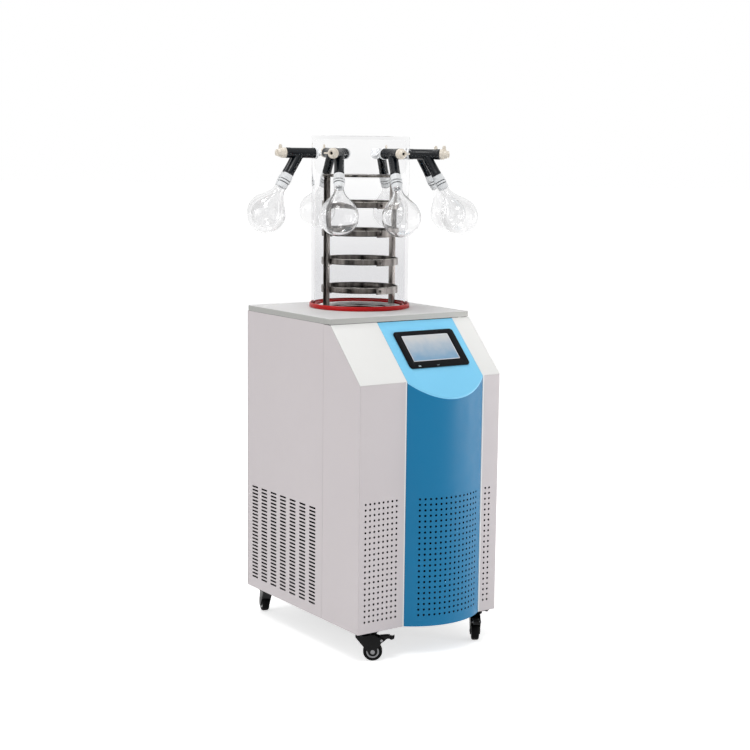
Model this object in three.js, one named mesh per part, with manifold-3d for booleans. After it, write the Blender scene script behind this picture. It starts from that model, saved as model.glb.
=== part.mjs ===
// Floor-standing manifold freeze dryer, in millimetres, +Z up.
// A sheet-metal cabinet on four casters holds the refrigeration set. A steel deck carries the cold trap,
// a red gasket and a clear chamber, with a rack of four trays inside and eight flask valves around it.
// The model is laid out with the cabinet centred in X and Y, its front towards -Y and the floor at Z = 0,
// and the finished group is then shifted so that its origin is the centre of its footprint.
import * as THREE from 'three';
import { mergeVertices } from 'three/addons/utils/BufferGeometryUtils.js';
import Module from 'manifold-3d';

const wasm = await Module();
wasm.setup();

// ---------------------------------------------------------------- clearances and sheet

const FIT = 0.3;                 // between pieces that seat on each other
const SEAM = 0.8;                // between neighbouring panels
const PLAY = 0.75;               // beside a wheel or blade that turns
const SHEET = 2;                 // panel sheet
const OVERCUT = 5;               // how far a cutter runs past the face that it opens
const FLATNESS = 0.001;          // within which neighbouring triangles count as one flat face
const ROUND = 8;                 // sides of small round pins, bores and tubes

// ---------------------------------------------------------------- casters

const CASTER_INSET_X = 40;
const CASTER_INSET_Y = 34;
const CASTER_PLATE = 60;
const CASTER_PLATE_THICKNESS = 3;
const CASTER_PLATE_CORNER = 8;
const RACEWAY_RADIUS = 16;
const RACEWAY_HEIGHT = 7;
const KINGPIN_RADIUS = 4;
const WHEEL_RADIUS = 25;
const WHEEL_WIDTH = 20;
const AXLE_RADIUS = 4;
const AXLE_BORE = 4.8;
const TRAIL = 24;                // from the kingpin back to the axle
const CHEEK = 2.5;
const CROWN_MARGIN = 4;          // fork's crown beyond the raceway
const AXLE_BOSS = 10;            // radius of the cheek round the axle
const EAR_BACK = 8;              // back edge of a cheek without a brake, beyond the raceway
const EAR_DROP = 12;             // depth of that edge below the crown
const BRAKE_EAR = 5;             // cheek round the brake's pin
const TREAD_ROUND = 4;
const WHEEL_TO_CROWN = 16.9;     // free height between the wheel and the fork's crown
const BRAKE_WIDTH = 16;
const BRAKE_BEYOND_AXLE = 22;    // axle to the pedal's pin, level
const BRAKE_ABOVE_WHEEL = 5;     // wheel's top to the pedal's pin
const BRAKE_PIN_RADIUS = 2.5;

const BRAKE_PIVOT_REACH = TRAIL + BRAKE_BEYOND_AXLE;
const BRAKE_PIVOT_HEIGHT = 2 * WHEEL_RADIUS + BRAKE_ABOVE_WHEEL;
const CASTER_HEIGHT =
  2 * WHEEL_RADIUS + WHEEL_TO_CROWN + CHEEK + FIT + RACEWAY_HEIGHT + CASTER_PLATE_THICKNESS + FIT;

// ---------------------------------------------------------------- cabinet

const CABINET_WIDTH = 436;
const CABINET_DEPTH = 550;
const FRONT_HEIGHT = 628;        // upright front, below the slope
const SLOPE_RISE = 136;
const SLOPE_RUN = 136;
const SHELL_FLANK = 166;         // how far the front shell runs back along each side
const LEFT_STRIP = 141;          // front shell to the left of the cover
const RIGHT_STRIP = 56;
const JAMB_DEPTH = 14;           // folded edge of the front shell beside the cover
const RETURN_DEPTH = 12;         // folded edge of the cover and the side panels
const COVER_BULGE = 42;
const FASCIA_THICKNESS = 3;
const PAN_SHEET = 3;
const PAN_FLANGE = 25;
const DECK_HEIGHT = 15;          // folded edge of the steel deck

const LEFT_X = -CABINET_WIDTH / 2;
const RIGHT_X = CABINET_WIDTH / 2;
const FRONT_Y = -CABINET_DEPTH / 2;
const BACK_Y = CABINET_DEPTH / 2;
const FLANK_Y = FRONT_Y + SHELL_FLANK;
const BASE_Z = CASTER_HEIGHT;
const SLOPE_Z = BASE_Z + FRONT_HEIGHT;
const SLOPE_TOP_Y = FRONT_Y + SLOPE_RUN;
const SLOPE_TOP_Z = SLOPE_Z + SLOPE_RISE;
const SLOPE_ANGLE = Math.atan2(SLOPE_RISE, SLOPE_RUN);
const DECK_Z = SLOPE_TOP_Z + FIT + DECK_HEIGHT;
const COVER_LEFT = LEFT_X + LEFT_STRIP;
const COVER_RIGHT = RIGHT_X - RIGHT_STRIP;
const COVER_MID = (COVER_LEFT + COVER_RIGHT) / 2;

// ---------------------------------------------------------------- perforations

const HOLE_DIAMETER = 6;
const HOLE_PITCH = 14.3;
const HOLE_ROWS = 22;
const BARE_COLUMNS = 2;          // columns left unpunched at each edge of the cover
const HOLE_SIDES = 3;
const LOWEST_HOLE = 30;          // from the cabinet's lower edge to the first row

// ---------------------------------------------------------------- touch screen

const BEZEL_WIDTH = 188;
const BEZEL_HEIGHT = 118;        // measured along the slope
const BEZEL_CORNER = 9;
const BEZEL_PROUD = 3.5;
const BEZEL_OFFSET = 2.5;        // bezel's middle to the right of the cover's
const BEZEL_UP_SLOPE = 96;       // foot of the slope to the bezel's middle
const MODULE_MARGIN = 7;         // bezel overlap around the display module
const MODULE_DEPTH = 16;
const DISPLAY_WIDTH = 146;
const DISPLAY_HEIGHT = 83;
const DISPLAY_ASIDE = -1;         // display's middle beside the bezel's
const DISPLAY_UP = 3;             // and above it, along the slope
const DISPLAY_THICKNESS = 2;

// ---------------------------------------------------------------- cold trap, gasket and chamber

const CHAMBER_X = 22;
const CHAMBER_FROM_BACK = 185;
const CHAMBER_WALL = 8.5;
const CHAMBER_LID = 10;
const CHAMBER_CHAMFER = 2;
const GASKET_LIP = 5;            // gasket beyond the chamber's wall
const GASKET_HEIGHT = 12;
const GASKET_FLOOR = 4;
const GASKET_STEP = 3;           // inner edge below the outer one
const TRAP_RADIUS = 74;
const TRAP_WALL = 2;
const TRAP_DEPTH = 240;
const TRAP_FLANGE_THICKNESS = 2;
const TRAP_SEGMENTS = 16;
const EVAPORATOR_TURNS = 2;
const EVAPORATOR_TUBE = 10;        // across the tube brazed round the trap
const EVAPORATOR_PITCH = 40;
const PORT_COUNT = 8;
const FIRST_PORT = -7;           // degrees from the cabinet's front towards +X
const FACETS_PER_PORT = 3;
const SPIGOT_RADIUS = 7.5;
const SPIGOT_PROUD = 2;          // inside the chamber's wall

// ---------------------------------------------------------------- tray rack

const TRAY_RADIUS = 100;
const TRAY_RIM = 16;
const TRAY_SHEET = 1.5;
const TRAY_COUNT = 4;
const TRAY_PITCH = 75;
const LOWEST_TRAY = 43;          // underside of the lowest tray above the deck
const TOP_SHELF_GAP = 85.5;        // underside of the highest tray to the rack's top
const RACK_SHEET = 2;
const HOOP_HEIGHT = 17;
const HOOP_OPEN_FROM = 174;      // degrees: the hoop leaves the front-left quarter open
const HOOP_OPEN_TO = 262;
const HOOP_HOLE = 8;
const HOOP_HOLE_ANGLE = 6;       // degrees from the hoop's free end
const HOOP_TO_POST = 10;         // degrees that the hoop runs on behind the left post
const POST_WIDTH = 17;
const POST_DEPTH = 8;
const LUG_LENGTH = 9;
const RACK_TOP_RIM = 6;
const FOOT_BAR = 12;
const FOOT_BAR_ANGLES = [-9, 120];   // degrees from +X
const WELD = 2;                  // how far welded strips run into each other
const RACK_SEGMENTS = 20;
const RACK_CLEARANCE = 10.7;     // rack posts to the chamber's wall
const PORTS_ABOVE_RACK = 55.5;
const LID_ABOVE_PORTS = 46;

const HOOP_INNER = TRAY_RADIUS + SEAM;
const HOOP_OUTER = HOOP_INNER + RACK_SHEET;
const POST_OUTER = HOOP_OUTER + POST_DEPTH;
const RACK_TOP = LOWEST_TRAY + (TRAY_COUNT - 1) * TRAY_PITCH + TOP_SHELF_GAP;
const PORT_HEIGHT = RACK_TOP + PORTS_ABOVE_RACK;
const CHAMBER_INSIDE = POST_OUTER + RACK_CLEARANCE;
const CHAMBER_RADIUS = CHAMBER_INSIDE + CHAMBER_WALL;
const CHAMBER_TOP = PORT_HEIGHT + LID_ABOVE_PORTS;
const CHAMBER_Y = BACK_Y - CHAMBER_FROM_BACK;

// ---------------------------------------------------------------- flask valves and flasks

const COLLAR_RADIUS = 15;
const COLLAR_LENGTH = 6;
const TUBE_RADIUS = 13.8;
const TUBE_LENGTH = 82;
const BRANCH_RADIUS = 13;
const BRANCH_TAPER = 0.5;
const BRANCH_FROM_INNER_END = 42;
const BRANCH_LENGTH = 64;
const BRANCH_ANGLE = 30.5;       // degrees from the vertical, outwards
const VALVE_SWING = [-7.8, 0, 0, 0, 0, 0, 0, 12];    // degrees that each valve hangs aside, about its tube
const NIPPLE_RADIUS = 8;
const NIPPLE_LENGTH = 26;
const STEM_RADIUS = 4;
const STEM_LENGTH = 12;
const KNOB_RADIUS = 13.5;
const KNOB_LENGTH = 23;
const KNOB_EDGE = 6;             // length of the chamfer on the knob's end
const KNOB_END_RADIUS = 8.5;
const KNOB_WING = 10;            // height of the wing above the knob
const WING_AT_REST = [-90, 0, 0, 0, 0, 0, 90, 90];   // degrees from upright, at each port
const WING_THICKNESS = 4;
const WING_INSET = 5;            // from the knob's inner end
const KNOB_TURN_GAP = 1;
const ADAPTER_RADIUS = 14;
const ADAPTER_LENGTH = 40;
const ADAPTER_BEAD = 1.6;        // how far its rib stands out
const ADAPTER_RIB = 24;          // from the adapter's upper end to its rib
const FLASK_LENGTH = 133;        // below the adapter
const BULB_RADIUS = 51;
const BULB_TO_NECK = 118;        // degrees of the bulb's arc from its lowest point to the neck
const NECK_RADIUS = 13;
const NECK_COLLAR = 8;           // straight neck under the adapter
const GLASS_WALL = 2.5;

// ---------------------------------------------------------------- refrigeration set and services

const COMPRESSOR_RADIUS = 62;
const COMPRESSOR_HEIGHT = 175;
const COMPRESSOR_FROM_LEFT = 128;
const COMPRESSOR_FROM_BACK = 180;
const COMPRESSOR_SEAM = 86;      // weld bead above the pan
const COMPRESSOR_BEAD = 4;
const COMPRESSOR_FOOT = 12;      // foot plate's height and its reach beside the can
const CONDENSER_WIDTH = 260;
const CONDENSER_HEIGHT = 230;
const CONDENSER_DEPTH = 34;
const CONDENSER_FINS = 7;
const CONDENSER_FROM_PAN = 43;    // behind the pan's front flange
const CONDENSER_LIFT = 12;
const FAN_RADIUS = 85;
const FAN_BLADES = 5;
const FAN_DEPTH = 16;
const BLADE_WIDTH = 36;
const BLADE_PITCH = 22;          // degrees
const HUB_RADIUS = 20;
const MOTOR_LENGTH = 30;
const SHAFT_PAST_MOTOR = 20;
const MOTOR_BAR = 30;
const INLET_WIDTH = 50;
const INLET_HEIGHT = 30;
const INLET_DEPTH = 25;
const INLET_RECESS = 15;
const INLET_FLANGE = 5;          // beyond the opening all round
const INLET_WALL = 5;
const INLET_FROM_RIGHT = 88;
const INLET_UP = 110;            // above the cabinet's lower edge
const VACUUM_FROM_LEFT = 98;
const VACUUM_UP = 160;
const VACUUM_BORE = 12.5;
const VACUUM_FLANGE = 20;
const VACUUM_FLANGE_EDGE = 3;
const VACUUM_PORT_LENGTH = 30;

const COMPRESSOR_X = LEFT_X + COMPRESSOR_FROM_LEFT;
const COMPRESSOR_Y = BACK_Y - COMPRESSOR_FROM_BACK;
const INLET_X = RIGHT_X - INLET_FROM_RIGHT;
const INLET_Z = BASE_Z + INLET_UP;
const VACUUM_PORT_X = LEFT_X + VACUUM_FROM_LEFT;
const VACUUM_PORT_Z = BASE_Z + VACUUM_UP;

// ---------------------------------------------------------------- materials

const paint = (color, roughness, metalness) =>
  new THREE.MeshStandardMaterial({ color, roughness, metalness });
const FINISH = {
  greyPaint: paint(0xcdc8c8, 0.5, 0.1),
  whitePaint: paint(0xf0f0ee, 0.45, 0.05),
  bluePaint: paint(0x3c88c4, 0.4, 0.05),
  skyPaint: paint(0x76c7f3, 0.4, 0.05),
  deckSteel: paint(0xc8c6c0, 0.35, 0.8),
  darkSteel: paint(0x6e6966, 0.4, 0.8),
  zinc: paint(0xa8a8a6, 0.45, 0.7),
  blackPlastic: paint(0x15161a, 0.35, 0.0),
  display: paint(0xb9cfe6, 0.15, 0.0),
  redSilicone: paint(0xd62823, 0.55, 0.0),
  acrylic: paint(0xf4f7f8, 0.08, 0.0),
  glass: paint(0xf0f4f6, 0.05, 0.0),
  rubber: paint(0x191e26, 0.6, 0.0),
  creamPlastic: paint(0xf0e6d2, 0.4, 0.0),
  casterBlack: paint(0x101012, 0.5, 0.1),
  castIron: paint(0x26282c, 0.6, 0.5),
};

// ---------------------------------------------------------------- tools for shapes and solids

const X_AXIS = new THREE.Vector3(1, 0, 0);
const Y_AXIS = new THREE.Vector3(0, 1, 0);
const Z_AXIS = new THREE.Vector3(0, 0, 1);
const radians = THREE.MathUtils.degToRad;

// A closed outline through corner points.
function outline(corners) {
  return new THREE.Shape(corners.map(([x, y]) => new THREE.Vector2(x, y)));
}

// A rectangle about a centre, with rounded corners when a radius is given.
function rectangle(width, height, corner = 0, cx = 0, cy = 0) {
  const left = cx - width / 2;
  const right = cx + width / 2;
  const low = cy - height / 2;
  const high = cy + height / 2;
  if (corner === 0) return outline([[left, low], [right, low], [right, high], [left, high]]);
  const shape = new THREE.Shape();
  shape.absarc(right - corner, low + corner, corner, -Math.PI / 2, 0);
  shape.absarc(right - corner, high - corner, corner, 0, Math.PI / 2);
  shape.absarc(left + corner, high - corner, corner, Math.PI / 2, Math.PI);
  shape.absarc(left + corner, low + corner, corner, Math.PI, 1.5 * Math.PI);
  shape.closePath();
  return shape;
}

// Turns geometry into a manifold solid: shared corners are merged and empty triangles dropped.
function solid(geometry) {
  const bare = geometry.clone();
  bare.deleteAttribute('normal');
  bare.deleteAttribute('uv');
  const merged = mergeVertices(bare, 1e-4);
  const index = merged.index.array;
  const triangles = [];
  for (let i = 0; i < index.length; i += 3) {
    const [a, b, c] = [index[i], index[i + 1], index[i + 2]];
    if (a !== b && b !== c && c !== a) triangles.push(a, b, c);
  }
  return new wasm.Manifold(new wasm.Mesh({
    numProp: 3,
    vertProperties: new Float32Array(merged.attributes.position.array),
    triVerts: new Uint32Array(triangles),
  }));
}

// Turns a manifold solid back into geometry, with no more triangles in a flat face than it needs.
function geometryOf(body) {
  const mesh = body.simplify(FLATNESS).getMesh();
  const geometry = new THREE.BufferGeometry();
  geometry.setAttribute('position', new THREE.BufferAttribute(new Float32Array(mesh.vertProperties), 3));
  geometry.setIndex(new THREE.BufferAttribute(new Uint32Array(mesh.triVerts), 1));
  geometry.computeVertexNormals();
  return geometry;
}

// Straight extrusion of a shape along +Z from a start height.
function extrude(shape, depth, start = 0, curveSegments = 6) {
  const geometry = new THREE.ExtrudeGeometry(shape, { depth, bevelEnabled: false, curveSegments });
  return geometry.translate(0, 0, start);
}

// Extrusion along +X of a shape drawn in Y and Z.
function extrudeAlongX(shape, from, to, curveSegments = 6) {
  const turn = new THREE.Matrix4().makeBasis(Y_AXIS, Z_AXIS, X_AXIS);
  return extrude(shape, to - from, from, curveSegments).applyMatrix4(turn);
}

// Extrusion along -Y of a shape drawn in X and Z, between two depths.
function extrudeAlongY(shape, back, front, curveSegments = 6) {
  const turn = new THREE.Matrix4().makeBasis(X_AXIS, Z_AXIS, Y_AXIS.clone().negate());
  return extrude(shape, back - front, -back, curveSegments).applyMatrix4(turn);
}

// A block between two corners.
function block(x0, x1, y0, y1, z0, z1) {
  const geometry = new THREE.BoxGeometry(x1 - x0, y1 - y0, z1 - z0);
  return geometry.translate((x0 + x1) / 2, (y0 + y1) / 2, (z0 + z1) / 2);
}

// A body of revolution about Z from a profile of [radius, height], anticlockwise in the section.
// Its facets are centred on `facing`, an angle in degrees from +X.
function revolve(profile, segments, facing = 0) {
  const points = profile.map(([r, z]) => new THREE.Vector2(r, z));
  const half = Math.PI / segments;
  const geometry = new THREE.LatheGeometry(points, segments, half, 2 * Math.PI);
  return geometry.rotateX(Math.PI / 2).rotateZ(radians(facing));
}

// A closed ring profile repeats its first point.
const closed = (profile) => [...profile, profile[0]];

// A round bar about Z.
function rod(radius, z0, z1, sides, x = 0, y = 0) {
  return revolve([[0, z0], [radius, z0], [radius, z1], [0, z1]], sides).translate(x, y, 0);
}

// Turns geometry modelled about Z so that Z points along +X.
const layAlongX = (geometry) => geometry.rotateY(Math.PI / 2);

const model = new THREE.Group();
model.name = 'freeze_dryer';

// Adds one named sub-part to the model or to a group of it.
function add(name, geometry, material, parent = model) {
  const mesh = new THREE.Mesh(geometry, material);
  mesh.name = name;
  parent.add(mesh);
}

// ---------------------------------------------------------------- outlines shared by the cabinet's front

// Height of the slope, moved inwards by a thickness, at a depth.
function slopeHeight(y, inset) {
  return SLOPE_Z + (y - FRONT_Y) * Math.tan(SLOPE_ANGLE) - inset / Math.cos(SLOPE_ANGLE);
}

// Depth at which the slope, moved inwards by a thickness, reaches a height.
function slopeDepth(z, inset) {
  return FRONT_Y + (z - SLOPE_Z + inset / Math.cos(SLOPE_ANGLE)) / Math.tan(SLOPE_ANGLE);
}

// Side outline of the cabinet's front in Y and Z, with its outer faces moved inwards.
function frontOutline(inset, backY, bottomZ) {
  const frontY = FRONT_Y + inset;
  const topZ = SLOPE_TOP_Z - inset;
  return outline([
    [frontY, bottomZ], [backY, bottomZ], [backY, topZ],
    [slopeDepth(topZ, inset), topZ], [frontY, slopeHeight(frontY, inset)],
  ]);
}

// Everything under the slope, moved inwards by a thickness, in Y and Z.
function underSlope(inset) {
  const near = FRONT_Y - COVER_BULGE - OVERCUT;
  return outline([
    [near, BASE_Z - OVERCUT], [BACK_Y, BASE_Z - OVERCUT],
    [BACK_Y, slopeHeight(BACK_Y, inset)], [near, slopeHeight(near, inset)],
  ]);
}

// The cover's bulge is an arc over the chord between its two edges.
const coverHalfWidth = (COVER_RIGHT - COVER_LEFT) / 2 - SEAM;
const coverRadius = (coverHalfWidth ** 2 + COVER_BULGE ** 2) / (2 * COVER_BULGE);
const coverHalfAngle = Math.asin(coverHalfWidth / coverRadius);
const coverCentreY = FRONT_Y - COVER_BULGE + coverRadius;
// One facet carries one column of holes, so the facets follow the pitch of the holes.
const coverFacets = 2 * Math.round((coverHalfAngle * coverRadius) / HOLE_PITCH);
const columnAngle = (2 * coverHalfAngle) / coverFacets;
const coverSegments = coverFacets / 2;     // an extruded arc gets twice the segments that it is given

// Plan of the bulge in X and Y, closed along a straight line at a depth.
function bulgePlan(closingY) {
  const shape = new THREE.Shape();
  const start = -Math.PI / 2 - coverHalfAngle;
  const end = -Math.PI / 2 + coverHalfAngle;
  shape.absarc(COVER_MID, coverCentreY, coverRadius, start, end);
  shape.lineTo(COVER_MID + coverHalfWidth, closingY);
  shape.lineTo(COVER_MID - coverHalfWidth, closingY);
  shape.closePath();
  return shape;
}

// ---------------------------------------------------------------- cabinet panels

// White front shell: two strips with their slopes and flanks, folded in beside the cover.
function frontShell() {
  const outer = solid(extrudeAlongX(frontOutline(0, FLANK_Y, BASE_Z), LEFT_X, RIGHT_X));
  const hollow = solid(extrudeAlongX(
    frontOutline(SHEET, FLANK_Y + OVERCUT, BASE_Z - OVERCUT), LEFT_X + SHEET, RIGHT_X - SHEET));
  const window = solid(block(
    COVER_LEFT, COVER_RIGHT, FRONT_Y - OVERCUT, SLOPE_TOP_Y, BASE_Z - OVERCUT, SLOPE_TOP_Z + OVERCUT));
  let shell = outer.subtract(hollow).subtract(window);
  for (const edge of [COVER_LEFT - SHEET, COVER_RIGHT]) {
    const plate = solid(extrudeAlongX(frontOutline(0, FLANK_Y, BASE_Z), edge, edge + SHEET));
    const behind = frontOutline(JAMB_DEPTH, FLANK_Y + OVERCUT, BASE_Z - OVERCUT);
    const cut = solid(extrudeAlongX(behind, edge - OVERCUT, edge + SHEET + OVERCUT));
    shell = shell.add(plate.subtract(cut));
  }
  return geometryOf(shell);
}

// Radial punches for the cover's grille, one column to each facet of the arc.
function coverPunches() {
  const punches = [];
  const punch = rod(HOLE_DIAMETER / 2, coverRadius - SHEET - OVERCUT, coverRadius + OVERCUT, HOLE_SIDES);
  for (let column = BARE_COLUMNS; column < coverFacets - BARE_COLUMNS; column += 1) {
    const bearing = (column + 0.5) * columnAngle - coverHalfAngle - Math.PI / 2;
    for (let row = 0; row < HOLE_ROWS; row += 1) {
      const height = BASE_Z + LOWEST_HOLE + row * HOLE_PITCH;
      punches.push(solid(layAlongX(punch.clone()).rotateZ(bearing)
        .translate(COVER_MID, coverCentreY, height)));
    }
  }
  return wasm.Manifold.union(punches);
}

// Blue front cover: a bulged, perforated sheet with folded edges and a floor, cut off under the fascia.
function frontCover() {
  const height = SLOPE_TOP_Z - BASE_Z;
  const skinBack = FRONT_Y + RETURN_DEPTH;
  const outside = solid(extrude(bulgePlan(skinBack), height, BASE_Z, coverSegments));
  const inner = new THREE.Shape();
  const innerRadius = coverRadius - SHEET;
  const innerHalfWidth = coverHalfWidth - SHEET;
  const innerHalfAngle = Math.asin(innerHalfWidth / innerRadius);
  inner.absarc(COVER_MID, coverCentreY, innerRadius,
    -Math.PI / 2 - innerHalfAngle, -Math.PI / 2 + innerHalfAngle);
  inner.lineTo(COVER_MID + innerHalfWidth, skinBack + OVERCUT);
  inner.lineTo(COVER_MID - innerHalfWidth, skinBack + OVERCUT);
  inner.closePath();
  const hollow = solid(extrude(inner, height + OVERCUT, BASE_Z + SHEET, coverSegments));
  const below = solid(extrudeAlongX(underSlope(FASCIA_THICKNESS + FIT), LEFT_X, RIGHT_X));
  const cover = outside.subtract(hollow).intersect(below);
  return geometryOf(cover.subtract(coverPunches()));
}

// Places shapes drawn on the slope: X across, Y up the slope and Z out of it.
const slopePlane = new THREE.Matrix4()
  .makeBasis(
    X_AXIS,
    new THREE.Vector3(0, Math.cos(SLOPE_ANGLE), Math.sin(SLOPE_ANGLE)),
    new THREE.Vector3(0, -Math.sin(SLOPE_ANGLE), Math.cos(SLOPE_ANGLE)))
  .setPosition(COVER_MID + BEZEL_OFFSET, FRONT_Y, SLOPE_Z)
  .multiply(new THREE.Matrix4().makeTranslation(0, BEZEL_UP_SLOPE, 0));
const onSlope = (geometry) => geometry.applyMatrix4(slopePlane);
const moduleWidth = BEZEL_WIDTH - 2 * MODULE_MARGIN;
const moduleHeight = BEZEL_HEIGHT - 2 * MODULE_MARGIN;

// Light blue fascia: a plate in the plane of the slope that runs on over the bulge.
function controlFascia() {
  const plate = solid(extrudeAlongX(underSlope(0), LEFT_X, RIGHT_X))
    .subtract(solid(extrudeAlongX(underSlope(FASCIA_THICKNESS), LEFT_X - OVERCUT, RIGHT_X + OVERCUT)));
  const plan = solid(extrude(bulgePlan(SLOPE_TOP_Y - SEAM), SLOPE_TOP_Z - BASE_Z, BASE_Z, coverSegments));
  const opening = solid(onSlope(extrude(
    rectangle(moduleWidth, moduleHeight), MODULE_DEPTH, -MODULE_DEPTH / 2)));
  return geometryOf(plate.intersect(plan).subtract(opening));
}

// Black screen housing: a rounded frame on the fascia with its module through the opening.
function screenBezel() {
  const frame = solid(onSlope(extrude(
    rectangle(BEZEL_WIDTH, BEZEL_HEIGHT, BEZEL_CORNER), BEZEL_PROUD, FIT, 2)));
  const module = solid(onSlope(extrude(
    rectangle(moduleWidth - 2 * FIT, moduleHeight - 2 * FIT), MODULE_DEPTH + FIT, -MODULE_DEPTH)));
  const pocket = solid(onSlope(extrude(
    rectangle(DISPLAY_WIDTH, DISPLAY_HEIGHT, 0, DISPLAY_ASIDE, DISPLAY_UP), DISPLAY_THICKNESS + OVERCUT,
    FIT + BEZEL_PROUD - DISPLAY_THICKNESS)));
  return geometryOf(frame.add(module).subtract(pocket));
}

// Display glass, flush in the pocket of the housing.
function screenGlass() {
  const pane = rectangle(DISPLAY_WIDTH - 2 * FIT, DISPLAY_HEIGHT - 2 * FIT, 0, DISPLAY_ASIDE, DISPLAY_UP);
  return onSlope(extrude(pane, DISPLAY_THICKNESS - FIT, 2 * FIT + BEZEL_PROUD - DISPLAY_THICKNESS));
}

// Removable side panel, folded in at the front, top and back. `side` is -1 at the left and 1 at the right.
function sidePanel(side) {
  const outerX = side * RIGHT_X;
  const panelFront = FLANK_Y + SEAM;
  const panelBack = BACK_Y - SHEET - FIT;
  const slab = (inset, depth, endInset, bottom, top) => {
    const near = outerX - side * inset;
    const far = outerX - side * depth;
    return solid(block(Math.min(near, far), Math.max(near, far),
      panelFront + endInset, panelBack - endInset, bottom, top));
  };
  const panTop = BASE_Z + PAN_FLANGE + FIT;
  return geometryOf(slab(0, RETURN_DEPTH, 0, BASE_Z, SLOPE_TOP_Z)
    .subtract(slab(SHEET, RETURN_DEPTH + OVERCUT, SHEET, BASE_Z - OVERCUT, SLOPE_TOP_Z - SHEET))
    .subtract(slab(SHEET, RETURN_DEPTH + OVERCUT, -OVERCUT, BASE_Z - OVERCUT, panTop)));
}

// Rear panel with the opening of the power inlet and the welded stub of the vacuum port.
function rearPanel() {
  const plate = solid(block(LEFT_X, RIGHT_X, BACK_Y - SHEET, BACK_Y, BASE_Z, SLOPE_TOP_Z));
  const inlet = rectangle(INLET_WIDTH, INLET_HEIGHT, 0, INLET_X, INLET_Z);
  const opening = solid(extrudeAlongY(inlet, BACK_Y + OVERCUT, BACK_Y - SHEET - OVERCUT));
  const neck = VACUUM_BORE + SHEET;
  const flangeFoot = VACUUM_PORT_LENGTH - VACUUM_FLANGE_EDGE;
  const stub = revolve([
    [0, 0], [neck, 0], [neck, flangeFoot - SHEET], [VACUUM_FLANGE, flangeFoot],
    [VACUUM_FLANGE, VACUUM_PORT_LENGTH], [0, VACUUM_PORT_LENGTH]], 12);
  const bore = rod(VACUUM_BORE, -SHEET - OVERCUT, VACUUM_PORT_LENGTH + OVERCUT, 12);
  const place = (geometry) => solid(
    geometry.rotateX(-Math.PI / 2).translate(VACUUM_PORT_X, BACK_Y, VACUUM_PORT_Z));
  const seated = place(stub.translate(0, 0, -SHEET / 2));
  return geometryOf(plate.subtract(opening).add(seated).subtract(place(bore)));
}

// Base pan with upturned flanges, inside the panels.
const panLeft = LEFT_X + SHEET + FIT;
const panRight = RIGHT_X - SHEET - FIT;
const panFront = FRONT_Y + JAMB_DEPTH + FIT;
const panBack = BACK_Y - SHEET - FIT;
function basePan() {
  const outer = solid(block(panLeft, panRight, panFront, panBack, BASE_Z, BASE_Z + PAN_FLANGE));
  const hollow = solid(block(
    panLeft + PAN_SHEET, panRight - PAN_SHEET, panFront + PAN_SHEET, panBack - PAN_SHEET,
    BASE_Z + PAN_SHEET, BASE_Z + PAN_FLANGE + OVERCUT));
  return geometryOf(outer.subtract(hollow));
}

// Steel deck with folded edges, open around the cold trap.
function topDeck() {
  const low = DECK_Z - DECK_HEIGHT;
  const outer = solid(block(LEFT_X, RIGHT_X, SLOPE_TOP_Y, BACK_Y, low, DECK_Z));
  const hollow = solid(block(
    LEFT_X + SHEET, RIGHT_X - SHEET, SLOPE_TOP_Y + SHEET, BACK_Y - SHEET, low - OVERCUT, DECK_Z - SHEET));
  const hole = solid(rod(
    TRAP_RADIUS + TRAP_WALL + SEAM, low, DECK_Z + OVERCUT, 24, CHAMBER_X, CHAMBER_Y));
  return geometryOf(outer.subtract(hollow).subtract(hole));
}

add('base_pan', basePan(), FINISH.zinc);
add('front_shell', frontShell(), FINISH.whitePaint);
add('front_cover', frontCover(), FINISH.bluePaint);
add('control_fascia', controlFascia(), FINISH.skyPaint);
add('side_panel_left', sidePanel(-1), FINISH.greyPaint);
add('side_panel_right', sidePanel(1), FINISH.greyPaint);
add('rear_panel', rearPanel(), FINISH.greyPaint);
add('top_deck', topDeck(), FINISH.deckSteel);
add('screen_bezel', screenBezel(), FINISH.blackPlastic);
add('screen_glass', screenGlass(), FINISH.display);

// ---------------------------------------------------------------- cold trap, gasket and chamber

const chamberStation = new THREE.Group();
chamberStation.position.set(CHAMBER_X, CHAMBER_Y, DECK_Z);
model.add(chamberStation);

const gasketOuter = CHAMBER_RADIUS + GASKET_LIP;
const gasketInner = CHAMBER_INSIDE - GASKET_LIP;
const chamberFoot = FIT + GASKET_FLOOR + FIT;      // underside of the chamber's wall above the deck
const facetCount = PORT_COUNT * FACETS_PER_PORT;
const portFacing = FIRST_PORT - 90;                // the first port's direction, in degrees from +X

// Steel cup under the deck, with a flange on the deck and the evaporator tube brazed round it.
function coldTrap() {
  const outside = TRAP_RADIUS + TRAP_WALL;
  const flange = gasketInner * Math.cos(Math.PI / facetCount) - FIT;
  const turns = [];
  for (let turn = 0; turn < EVAPORATOR_TURNS; turn += 1) {
    const z = EVAPORATOR_PITCH * (turn + 1) - TRAP_DEPTH;
    turns.push([outside, z - EVAPORATOR_TUBE / 2], [outside + EVAPORATOR_TUBE, z],
      [outside, z + EVAPORATOR_TUBE / 2]);
  }
  const profile = [
    [0, -TRAP_DEPTH], [outside, -TRAP_DEPTH], ...turns, [outside, FIT], [flange, FIT],
    [flange, FIT + TRAP_FLANGE_THICKNESS], [TRAP_RADIUS, FIT + TRAP_FLANGE_THICKNESS],
    [TRAP_RADIUS, TRAP_WALL - TRAP_DEPTH], [0, TRAP_WALL - TRAP_DEPTH],
  ];
  return revolve(profile, TRAP_SEGMENTS);
}

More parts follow.
